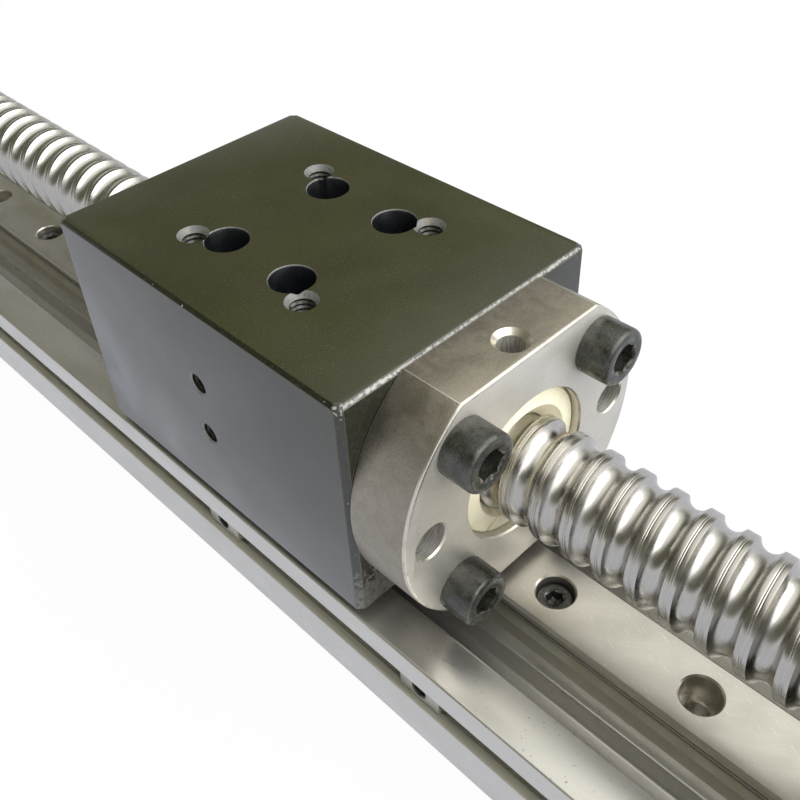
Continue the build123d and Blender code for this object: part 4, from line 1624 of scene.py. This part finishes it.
@dataclass(frozen=True)
class Bearings:
    """The bearings of one end block.

    Attributes:
        inner_node: The node of their inner rings.
        outer_node: The node of their outer rings.
        spans: Where each of them begins and ends along X.
        bore: Radius of the journal.
        wall_share: Share of their section that the outer ring takes.
        shield: Where a shield begins and ends behind the ring's face.
    """

    inner_node: str
    outer_node: str
    spans: tuple[tuple[float, float], ...]
    bore: float
    wall_share: float = 0.3
    shield: tuple[float, float] = (0.5, 1.1)

    def inner(self, body: str) -> None:
        """Makes their inner rings.

        Args:
            body: The body that they move with.
        """
        outside = node_box(self.inner_node)[1].y
        made = Solid()
        for span in self.spans:
            section = ring_section(span, self.bore + 0.01, outside, (0.3, 0.3, 0.2, 0.2))
            made.ring(section, across_screw(0))
        name = self.inner_node + "_ground"
        deliver(made, name, body, [GROUND_STEEL], self.inner_node)

    def outer(self, body: str) -> None:
        """Makes their outer rings, with a shield at each face.

        Args:
            body: The body that they move with.
        """
        outside = node_box(self.outer_node)[1].y
        wall = self.wall_share * (outside - self.bore)
        inner, shield = outside - wall, self.bore + wall + 0.3
        near, far = self.shield
        made = Solid()
        for start, end in self.spans:
            corners = [
                (start, inner, 0.15), (start, outside, 0.4), (end, outside, 0.4),
                (end, inner, 0.15), (end - near, inner, 0.0), (end - near, shield, 0.1),
                (end - far, shield, 0.1), (end - far, inner, 0.0), (start + far, inner, 0.0),
                (start + far, shield, 0.1), (start + near, shield, 0.1), (start + near, inner, 0.0),
            ]
            made.ring(rounded(corners, 2), across_screw(0))
        name = self.outer_node + "_ground"
        deliver(made, name, body, [GROUND_STEEL], self.outer_node)


FIXED_BEARINGS = Bearings(
    "fixed_bearing_inner_rings",
    "fixed_bearing_outer_rings",
    spans=((146.0, 154.0), (154.05, 162.05)),
    bore=6.0,
)
FLOATING_BEARING = Bearings(
    "floating_bearing_inner_ring", "floating_bearing_outer_ring", ((-155.0, -147.0),), 5.0
)


@dataclass
class ScrewAssembly:
    """The ball screw and what turns with it.

    Attributes:
        steps_in_lead: Faces along one lead.
        steps_round: Faces round the screw.
        fixed_end: Where the thread ends at the drive end, and where the drive journal starts.
        float_shoulder_x: Where it ends at the other end.
        groove: Where the circlip's groove starts and ends.
        centre: Places behind an end and radii of the centre hole that the screw was turned on.
        lock_slot: Half the width and the depth of a slot in the lock nut.
        circlip_gap: How far it is open.
    """

    body: str = "screw"
    steps_in_lead: int = 30
    steps_round: int = 48
    fixed_end: tuple[float, float] = (143.0, 179.0)
    float_shoulder_x: float = -147.0
    groove: tuple[float, float] = (-155.0, -156.0)
    groove_radius: float = 4.7
    drive_radius: float = 5.0
    end_chamfer: float = 0.5
    centre: tuple[tuple[float, float], ...] = ((0.0, 1.6), (1.7, 0.6), (3.0, 0.6), (3.3, 0.0))
    lock_slot: tuple[float, float] = (1.5, 1.6)
    circlip_radius: float = 6.6
    circlip_gap: float = 3.0

    def build(self) -> None:
        """Builds every piece of the assembly."""
        self.screw()
        self.lock_nut()
        for node in ("inner_collar", "outer_collar"):
            low, high = node_box(node)
            section = ring_section((low.x, high.x), 6.01, high.y, (0.2, 0.2, 0.3, 0.3), 2)
            collar = Solid().ring(section, across_screw(0))
            deliver(collar, node + "_turned", self.body, [GROUND_STEEL], node)
        self.circlip()
        FIXED_BEARINGS.inner(self.body)
        FLOATING_BEARING.inner(self.body)

    def threaded_length(self) -> bmesh.types.BMesh:
        """The wound track, trimmed square at both shoulders.

        Returns:
            The mesh, open at both ends.
        """
        ends = ((self.float_shoulder_x, -1), (self.fixed_end[0], 1))
        spare = 2
        start = math.floor(ends[0][0] / TRACK.lead - spare) * TRACK.lead
        values = {
            **asdict(TRACK),
            "start": start,
            "axis height": SCREW_Z,
            "leads": math.ceil((ends[1][0] - start) / TRACK.lead) + spare,
            "steps in a lead": self.steps_in_lead,
            "steps round": self.steps_round,
            "finish": TRACK_STEEL.material(),
        }
        holder = TrackTree().run("track", bpy.data.meshes.new("track"), values)
        mesh = bmesh.new()
        mesh.from_mesh(holder.data)
        bpy.data.objects.remove(holder)
        for x, side in ends:
            parts = mesh.verts[:] + mesh.edges[:] + mesh.faces[:]
            plane = {"plane_co": (x, 0, 0), "plane_no": (side, 0, 0)}
            bmesh.ops.bisect_plane(mesh, geom=parts, clear_outer=True, **plane)
        return mesh

    def screw(self) -> None:
        """Threaded length with its turned ends, as one shell."""
        made = Solid()
        made.mesh = self.threaded_length()
        shoulder_x, drive_x = self.fixed_end
        fixed, floating = FIXED_BEARINGS.bore, FLOATING_BEARING.bore
        groove_x, groove_end = self.groove
        drive = [(shoulder_x, fixed), (drive_x - 0.3, fixed), (drive_x, self.drive_radius)]
        far = [
            (self.float_shoulder_x, floating), (groove_x + 0.1, floating),
            (groove_x, self.groove_radius), (groove_end + 0.01, self.groove_radius),
            (groove_end, floating),
        ]
        for profile in (
            far + self.tip(SCREW_LOW.x, -1, floating),
            drive + self.tip(SCREW_HIGH.x, 1, self.drive_radius),
        ):
            rim = [
                edge
                for edge in made.mesh.edges
                if edge.is_boundary
                and all(abs(vert.co.x - profile[0][0]) < 0.01 for vert in edge.verts)
            ]
            rings = [ring_of(across_screw(0), radius, x) for x, radius in profile]
            rows = [[made.mesh.verts.new(point) for point in ring] for ring in rings]
            next_points = rows[0][1:] + rows[0][:1]
            circle = [made.mesh.edges.new(pair) for pair in zip(rows[0], next_points)]
            filled = bmesh.ops.triangle_fill(
                made.mesh, edges=rim + circle, use_beauty=True, normal=(1, 0, 0)
            )
            for face in filled["geom"]:
                if isinstance(face, bmesh.types.BMFace):
                    face.material_index = 1
            for lower, upper in zip(rows, rows[1:]):
                made.bridge(lower, upper, 1)
        bmesh.ops.recalc_face_normals(made.mesh, faces=made.mesh.faces)
        finishes = [TRACK_STEEL, GROUND_STEEL]
        deliver(made, "ball_screw_wound", self.body, finishes, "ball_screw")

    def tip(self, end_x: float, side: int, radius: float) -> Outline:
        """Chamfered end of the screw with its centre hole.

        Args:
            end_x: Where the end is.
            side: 1 at the drive end and -1 at the other.
            radius: Radius of the journal.

        Returns:
            The profile from the journal to the hole's bottom.
        """
        edge = self.end_chamfer
        hole = [(end_x - side * depth, hole_radius) for depth, hole_radius in self.centre]
        return [(end_x - side * edge, radius), (end_x, radius - edge)] + hole

    def lock_nut(self) -> None:
        """Slotted nut that clamps the bearings."""
        low, high = node_box("lock_nut")
        section = ring_section((low.x, high.x), 6.01, high.y, (0.3, 0.5, 0.6, 0.6))
        nut = Solid().ring(section, across_screw(0))
        half, depth = self.lock_slot
        inner, outer = high.y - depth, high.y + 2
        outline = [(inner, -half), (outer, -half), (outer, half), (inner, half)]
        slots = Solid()
        for quarter in range(4):
            turn = Matrix.Rotation(quarter * math.pi / 2, 4, "Z")
            slots.extrude(outline, across_screw(0) @ turn, low.x - 1, high.x + 1)
        nut.cut(slots)
        deliver(nut, "lock_nut_slotted", self.body, [BLACK_OXIDE], "lock_nut")

    def circlip(self) -> None:
        """Open spring ring that keeps the bearing of the far end."""
        low, high = node_box("circlip")
        radius = self.circlip_radius
        bore = self.groove_radius + 0.01
        section = ring_section((low.x, high.x), bore, radius, (0.1, 0.1, 0.2, 0.2), 2)
        half = self.circlip_gap / 2 / radius
        start = half - math.pi / 2
        ring = Solid().ring(section, across_screw(0), start, FULL_TURN - 2 * half, 72)
        deliver(ring, "circlip_sprung", self.body, [BLACK_OXIDE], "circlip")


@dataclass
class BaseAssembly:
    """The base, its rail, end blocks, outer bearing rings and screws, which stay put.

    Attributes:
        rail_seat: Depth of the counterbores of the rail's holes.
        pad_half: Half the width of the pad under the rail.
        lip_inner: Where the channel's side walls begin, from the middle.
        slot_low: Height of the lower edge of a nut slot's opening.
        slot_back: Where the slot ends, from the middle.
        slot_lip: Thickness of the lips at its opening.
        hidden_ledge: How much higher and lower it is behind them.
        ports: Places of the threaded holes in the base's ends.
        slot_nut_half: Half the length, neck and width of a slot nut.
        shaft_opening: Radius of the opening for the screw in an end block.
        end_bevel: Bevel of an end block's upper corners.
        end_seat: Depth of the counterbores for its screws.
        end_bite: How far these screws go into the base.
        cover_circle: Diameter of the circle of the cover's screws.
        motor_spacing: Spacing of the threads for a motor plate, across and up.
    """

    body: str = "base"
    rail_pitch: float = 25.0
    rail_holes: int = 10
    rail_seat: float = 4.5
    pad_half: float = 8.2
    floor_z: float = 6.0
    lip_inner: float = 16.6
    slot_low: float = 9.3
    slot_high: float = 14.1
    slot_back: float = 18.0
    slot_lip: float = 1.6
    hidden_ledge: float = 1.6
    ports: tuple[tuple[float, float], ...] = ((-20.0, 4.2), (-5.5, 5.0), (5.5, 5.0), (20.0, 4.2))
    port_radius: float = 2.02
    slot_nut_places: tuple[float, ...] = (81.2, 34.0)
    slot_nut_half: tuple[float, float, float] = (4.0, 2.25, 3.85)
    slot_nut_gap: float = 0.15
    slot_nut_hole: Hole = Hole(1.25, 6.0, thread=0.22, pitch=0.5, wall=1, segments=32)
    motor_hole: Hole = Hole(1.65, 10.0, 0.35, 0.35, thread=0.3, tip=0.9, wall=2, segments=32)
    cover_thread: Hole = Hole(1.52, 6.8, segments=32)
    shaft_opening: float = 9.95
    end_bevel: float = 4.0
    end_seat: float = 4.4
    end_bite: float = 9.4
    cover_circle: float = 32.5
    cover_angles: tuple[float, ...] = (45.0, 135.0, 225.0, 315.0)
    motor_spacing: tuple[float, float] = (38.0, 30.0)

    def __post_init__(self) -> None:
        """Reads the places that follow from the frame."""
        self.low, self.high = node_box("base_extrusion")
        self.rail_low, self.rail_high = node_box("guide_rail")
        self.flat_on = Matrix.Translation((0, 0, -SCREW_Z)) @ across_screw(0)
        middle = (self.rail_holes - 1) / 2
        self.hole_places = [(i - middle) * self.rail_pitch for i in range(self.rail_holes)]

    def build(self) -> None:
        """Builds every piece of the assembly."""
        self.extrusion()
        self.rail()
        seats = [Vector((x, 0, self.rail_high.z - self.rail_seat)) for x in self.hole_places[::2]]
        ScrewPattern().fit(M3, seats, UP, 3, "rail_cap_screws", self.body, "rail_screws")
        self.slot_nuts()
        self.end_block("fixed_end_block", 1, 14.01, 6.0, "fixed_block_screws", 21)
        self.end_block("floating_end_block", -1, 13.01, 7.0, "floating_block_screws", 22)
        self.cover()
        FIXED_BEARINGS.outer(self.body)
        FLOATING_BEARING.outer(self.body)

    def extrusion(self) -> None:
        """Extruded channel with a nut slot along each side."""
        side, top = self.high.y, self.high.z
        lip_y, back = side - self.slot_lip, self.slot_back
        low, high = self.slot_low - self.hidden_ledge, self.slot_high + self.hidden_ledge
        half = [
            (side, 0.0, 1.0), (side, self.slot_low, 0.3), (lip_y, self.slot_low, 0.25),
            (lip_y, low, 0.2), (back, low, 0.4), (back, high, 0.4), (lip_y, high, 0.2),
            (lip_y, self.slot_high, 0.25), (side, self.slot_high, 0.3), (side, top, 0.5),
            (self.lip_inner, top, 0.4), (self.lip_inner, self.floor_z, 0.5),
            (self.pad_half, self.floor_z, 0.5), (self.pad_half, self.rail_low.z, 0.35),
        ]
        corners = half + [(-y, z, radius) for y, z, radius in reversed(half)]
        base = Solid().extrude(rounded(corners, 4), self.flat_on, self.low.x, self.high.x)
        ports = Solid()
        for y, z in self.ports:
            seat = Matrix.Translation((0, y, z - SCREW_Z)) @ across_screw(0)
            ports.turn(bar(self.low.x - 1, self.high.x + 1, self.port_radius), seat, 32)
        base.cut(ports)
        # Faces inside the nut slots take the paler finish: painted light in the slots
        for face in base.mesh.faces:
            place = face.calc_center_median()
            if back - 0.1 < abs(place.y) < side - 0.05 and low - 0.1 < place.z < high + 0.1:
                face.material_index = 1
        finishes = [SILVER_ANODISED, SLOT_ANODISED_PAINTED_LIGHT]
        name, node = "base_extrusion_anodised", "base_extrusion"
        deliver(base, name, self.body, finishes, node)

    def rail(self) -> None:
        """Ground rail with a ball groove along each side and counterbored holes."""
        top, bottom, side = self.rail_high.z, self.rail_low.z, self.rail_high.y
        line = side - 0.4
        half = [
            (side, bottom, 0.0), (side, top - 5.0, 0.12), (side - 1.1, top - 4.3, 0.5),
            (side - 1.1, top - 2.6, 0.5), (side, top - 1.95, 0.1), (side, top - 1.66, 0.0),
            (line, top - 1.64, 0.0), (line, top - 1.42, 0.0), (side, top - 1.4, 0.0),
            (side, top - 0.45, 0.1), (side - 0.45, top, 0.1),
        ]
        corners = half + [(-y, z, radius) for y, z, radius in reversed(half)]
        ends = self.rail_low.x, self.rail_high.x
        rail = Solid().extrude(rounded(corners, 3), self.flat_on, *ends)
        seat, foot = -self.rail_seat, bottom - top - 1
        hole = [
            (1, 0.0), (1, 3.25), (0, 3.25), (-0.25, 3.0), (seat, 3.0), (seat, 1.95),
            (seat - 0.2, 1.75), (foot, 1.75), (foot, 0.0),
        ]
        cutter = Solid()
        for x in self.hole_places:
            cutter.turn(hole, Matrix.Translation((x, 0, top)), 48, [1, 1, 1, 0, 1, 1, 2, 2])
        rail.cut(cutter)
        # The thin notch below the top edge takes the near-black finish: partly oil, partly painted
        # shade
        for face in rail.mesh.faces:
            place = face.calc_center_median()
            if line - 0.05 < abs(place.y) < side - 0.05 and top - 1.7 < place.z < top - 1.35:
                face.material_index = 3
        finishes = [RAIL_STEEL, BRIGHT_CHAMFER, GROUND_STEEL, NEAR_BLACK_PAINTED_SHADE]
        deliver(rail, "guide_rail_ground", self.body, finishes, "guide_rail")

    def slot_nuts(self) -> None:
        """Two threaded nuts in the near side slot."""
        middle_z = (self.slot_low + self.slot_high) / 2
        half, neck, wide = self.slot_nut_half
        face_y = -(self.high.y - self.slot_lip / 2)
        back_y = -self.slot_back - self.slot_nut_gap
        step_y = -(self.high.y - self.slot_lip - self.slot_nut_gap)
        left = [(back_y, -wide), (step_y, -wide), (step_y, -neck), (face_y, -neck)]
        right = [(y, -z) for y, z in left]
        outline = [(y, middle_z + z) for y, z in left[:1] + right + left[:0:-1]]
        nuts, cutter = Solid(), Solid()
        for x in self.slot_nut_places:
            nuts.extrude(outline, self.flat_on, x - half, x + half)
            self.slot_nut_hole.add_to(cutter, facing(Vector((x, face_y, middle_z)), NEAR_SIDE))
        nuts.round_edges(0.3)
        nuts.cut(cutter)
        finishes = [NICKEL_PLATE, CUT_THREAD]
        deliver(nuts, "slot_nuts_plated", self.body, finishes, "slot_nuts")

    def end_outline(self, along: float, inset: float) -> Ring:
        """The outline of both end blocks.

        Args:
            along: Where along X it is.
            inset: How far it is drawn in.

        Returns:
            Its six points.
        """
        corner, bevel = node_box("fixed_end_block")[1], self.end_bevel
        half, top = corner.y, corner.z
        right = [(half - inset, inset), (half - inset, top - bevel), (half - bevel, top - inset)]
        points = right + [(-y, z) for y, z in reversed(right)]
        return [self.flat_on @ Vector((y, z, along)) for y, z in points]

    def end_block(
        self, node: str, outward: int, seat_radius: float, wall: float, screws: str, seed: int
    ) -> None:
        """An end block, with its bearing seat and screw holes, and the screws in it.

        Args:
            node: The node that it stands for.
            outward: 1 at the drive end and -1 at the other.
            seat_radius: Radius of its bearing seat.
            wall: Thickness of its inner wall.
            screws: The node of its screws.
            seed: Fixes how their hexagons stand.
        """
        low, high = node_box(node)
        levels = ((low.x, 0.4), (low.x + 0.4, 0), (high.x - 0.4, 0), (high.x, 0.4))
        block = Solid().skin([self.end_outline(*level) for level in levels]).round_edges(0.08)
        inner, outer = (low.x, high.x) if outward > 0 else (high.x, low.x)
        shoulder, mouth = inner + outward * wall, seat_radius + 0.3
        shaft = [
            (inner - outward, 0.0), (inner - outward, self.shaft_opening),
            (shoulder, self.shaft_opening), (shoulder, seat_radius),
            (outer - outward * 0.3, seat_radius), (outer, mouth), (outer + outward, mouth),
            (outer + outward, 0.0),
        ]
        block.cut(Solid().turn(shaft, across_screw(0), finishes=[0, 1, 1, 1, 1, 0, 0]))
        normal = ALONG * outward
        foot = low.x - high.x - 1
        well = [
            (1, 0.0), (1, 3.9), (0, 3.9), (-0.15, 3.75), (-self.end_seat, 3.75),
            (-self.end_seat, 2.2), (foot, 2.2), (foot, 0.0),
        ]
        cutter = Solid()
        for y, z in self.ports:
            seat = facing(Vector((outer, y, z)), normal)
            cutter.turn(well, seat, 48, [1, 1, 1, 0, 1, 1, 1])
        if outward > 0:
            for y, z in grid_places(*self.motor_spacing):
                place = Vector((outer, y, SCREW_Z + z))
                self.motor_hole.add_to(cutter, facing(place, normal))
            for place in bolt_places(outer, self.cover_circle, self.cover_angles):
                self.cover_thread.add_to(cutter, facing(place, normal))
        block.cut(cutter)
        finishes = [OLIVE_ANODISED_PLAIN, PALE_COUNTERSINK, CUT_THREAD]
        deliver(block, node + "_milled", self.body, finishes, node)
        seats = [Vector((outer - outward * self.end_seat, y, z)) for y, z in self.ports]
        screw = replace(M4, length=high.x - low.x - self.end_seat + self.end_bite)
        ScrewPattern().fit(screw, seats, normal, seed, node + "_cap_screws", self.body, screws)

    def cover(self) -> None:
        """Cover over the bearings of the drive end, and its screws."""
        low, high = node_box("bearing_cover")
        step_x = node_box("fixed_end_block")[1].x
        bore, spigot = 9.0, 13.9
        section = [
            (low.x, bore, 0.3), (high.x, bore, 0.3), (high.x, high.y, 0.6), (step_x, high.y, 0.3),
            (step_x, spigot, 0.0), (low.x, spigot, 0.3),
        ]
        cover = Solid().ring(rounded(section, 3), across_screw(0))
        seats = bolt_places(high.x, self.cover_circle, self.cover_angles)
        hole = Hole(1.7, high.x - step_x + 0.5, segments=32)
        cutter = Solid()
        for seat in seats:
            hole.add_to(cutter, facing(seat, ALONG))
        cover.cut(cutter)
        finishes = [OLIVE_ANODISED_PLAIN, PALE_COUNTERSINK]
        name, node = "bearing_cover_turned", "bearing_cover"
        deliver(cover, name, self.body, finishes, node)
        screw, name = replace(M3, length=10.0), "cover_cap_screws"
        ScrewPattern().fit(screw, seats, ALONG, 8, name, self.body, "cover_screws")


@dataclass(frozen=True)
class PhotographView:
    """The camera, where the photograph was taken from.

    Attributes:
        place: Where it stands, in millimetres.
        azimuth: Angle round the object in degrees; 0 looks along +Y.
        elevation: How steeply it looks down, in degrees.
        roll: How far it is turned about its own line of sight, in degrees.
        lens: Focal length in millimetres.
        sensor: Width of its sensor in millimetres.
        shift: How far the picture is shifted, as shares of its width.
    """

    place: tuple[float, float, float] = (137.152, -75.194, 137.652)
    azimuth: float = 46.930
    elevation: float = 41.606
    roll: float = -2.911
    lens: float = 43.418
    sensor: float = 36.0
    shift: tuple[float, float] = (-0.00641, -0.00908)

    def build(self) -> None:
        """Adds the camera and makes it the scene's."""
        data = bpy.data.cameras.new("photograph_view")
        data.lens = self.lens
        data.sensor_width = self.sensor
        data.shift_x, data.shift_y = self.shift
        data.clip_start = 0.005
        camera = add_object("photograph_view", data)
        turn = Matrix.Translation(Vector(self.place) * MM)
        for degrees, axis in ((self.azimuth, "Z"), (90 - self.elevation, "X"), (self.roll, "Z")):
            turn = turn @ Matrix.Rotation(math.radians(degrees), 4, axis)
        camera.matrix_world = turn
        bpy.context.scene.camera = camera


@dataclass(frozen=True)
class Lamp:
    """A soft box: where it hangs and what it points at in metres, its size and its power."""

    name: str
    place: tuple[float, float, float]
    target: tuple[float, float, float]
    size: tuple[float, float]
    power: float
    colour: str

    def build(self) -> None:
        """Adds the lamp."""
        data = bpy.data.lights.new(self.name, "AREA")
        data.shape = "RECTANGLE"
        data.size, data.size_y = self.size
        data.energy = self.power
        data.color = paint(self.colour)[:3]
        lamp = add_object(self.name, data)
        aim = (Vector(self.target) - Vector(self.place)).to_track_quat("-Z", "Y")
        lamp.matrix_world = Matrix.Translation(self.place) @ aim.to_matrix().to_4x4()


@dataclass(frozen=True)
class Studio:
    """White table in a room that is bright towards a window at +X and dim towards -X and -Y.

    Attributes:
        lamp: The window.
        floor_half: Half the table's width in metres.
        floor_drop: How far the table lies below the base, in metres.
        table_glow: How much of the table's own white shows to the camera and in reflections.
        skylight: How much brighter than white the ceiling is where it is brightest.
        bright_side: Direction across the room, scaled, in which the ceiling grows brighter.
        pale_from: Values along it between which the ceiling turns from dim to pale.
        bright_from: Values along it between which it grows brighter than white.
        horizon: Heights between which the ceiling turns to the horizon's white.
    """

    lamp: Lamp = Lamp("window", (1.05, 0.25, 0.85), (0.08, 0.0, 0.03), (2.1, 1.7), 23.0, "#fbfbff")
    floor_half: float = 4.0
    floor_drop: float = 0.0002
    table_glow: float = 0.95
    skylight: float = 1.4
    bright_side: tuple[float, float, float] = (0.35, 0.25, 0.85)
    pale_from: tuple[float, float] = (0.42, 0.78)
    bright_from: tuple[float, float] = (0.5, 0.85)
    horizon: tuple[float, float] = (0.3, 0.06)

    def build(self) -> None:
        """Adds the floor, the room's light and the lamp, and sets how colours are shown."""
        bpy.context.scene.view_settings.view_transform = "Standard"
        self.floor()
        self.room()
        self.lamp.build()

    def floor(self) -> None:
        """White table that shows white to the camera and in reflections and keeps the shadow."""
        data = bpy.data.meshes.new("white_table")
        half = self.floor_half
        corners = [(-half, -half), (half, -half), (half, half), (-half, half)]
        data.from_pydata([(x, y, -self.floor_drop) for x, y in corners], [], [(0, 1, 2, 3)])
        made = bpy.data.materials.new("white_table_paper")
        tree = empty_tree(made)
        path = add_node(tree, "ShaderNodeLightPath").outputs
        paper = add_node(tree, "ShaderNodeBsdfDiffuse", {"Color": paint("#f6f6f6")})
        tones = {0: path["Is Camera Ray"], 6: paint("#dfe2ec"), 7: paint("#ffffff")}
        tone = add_node(tree, "ShaderNodeMix", tones, data_type="RGBA").outputs[2]
        glow = add_node(tree, "ShaderNodeEmission", {"Color": tone, "Strength": 1.0})
        seen = path["Is Camera Ray"]
        for kind in ("Is Glossy Ray", "Is Transmission Ray"):
            seen = add_node(tree, "ShaderNodeMath", (seen, path[kind]), operation="MAXIMUM")
        share = add_node(tree, "ShaderNodeMath", (seen, self.table_glow), operation="MULTIPLY")
        mixed = add_node(tree, "ShaderNodeMixShader", (share, paper, glow))
        add_node(tree, "ShaderNodeOutputMaterial", {"Surface": mixed})
        data.materials.append(made)
        add_object("white_table", data)

    def room(self) -> None:
        """Room light: white at the horizon, and overhead from dim olive to pale by direction."""
        world = bpy.data.worlds.new("pale_room")
        bpy.context.scene.world = world
        tree = empty_tree(world)
        where = add_node(tree, "ShaderNodeTexCoord").outputs["Generated"]
        side = (where, self.bright_side)
        along_side = add_node(tree, "ShaderNodeVectorMath", side, operation="DOT_PRODUCT")
        across = along_side.outputs["Value"]
        height = add_node(tree, "ShaderNodeSeparateXYZ", (where,)).outputs[2]
        pale, low, overhead = (
            add_node(tree, "ShaderNodeMapRange", given, interpolation_type="SMOOTHSTEP")
            for given in (
                (across, *self.pale_from, 0.0, 1.0),
                (height, *self.horizon, 0.0, 1.0),
                (across, *self.bright_from, 1.0, self.skylight),
            )
        )
        colour: Any = paint("#696857")
        for share, tone in ((pale, "#fbfaf4"), (low, "#f4f4f8")):
            given = {0: share, 6: colour, 7: paint(tone)}
            colour = add_node(tree, "ShaderNodeMix", given, data_type="RGBA").outputs[2]
        glow = add_node(tree, "ShaderNodeBackground", {"Color": colour, "Strength": overhead})
        add_node(tree, "ShaderNodeOutputWorld", {"Surface": glow})


def dress_kept_node(node: str, finish: Finish) -> None:
    """Gives a piece of the model that stays its finish.

    Args:
        node: The piece's node.
        finish: The finish.
    """
    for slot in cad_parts[node].material_slots:
        slot.material = finish.material()
    log.info("%s: kept from the model", node)


def main() -> None:
    """Builds the view, the studio and the three assemblies."""
    logging.basicConfig(level=logging.INFO, format="%(message)s")
    for part in (PhotographView(), Studio(), BaseAssembly(), ScrewAssembly(), CarriageAssembly()):
        part.build()
    dress_kept_node("ball_return_inserts", BLACK_OXIDE)


if __name__ == "__main__":
    main()
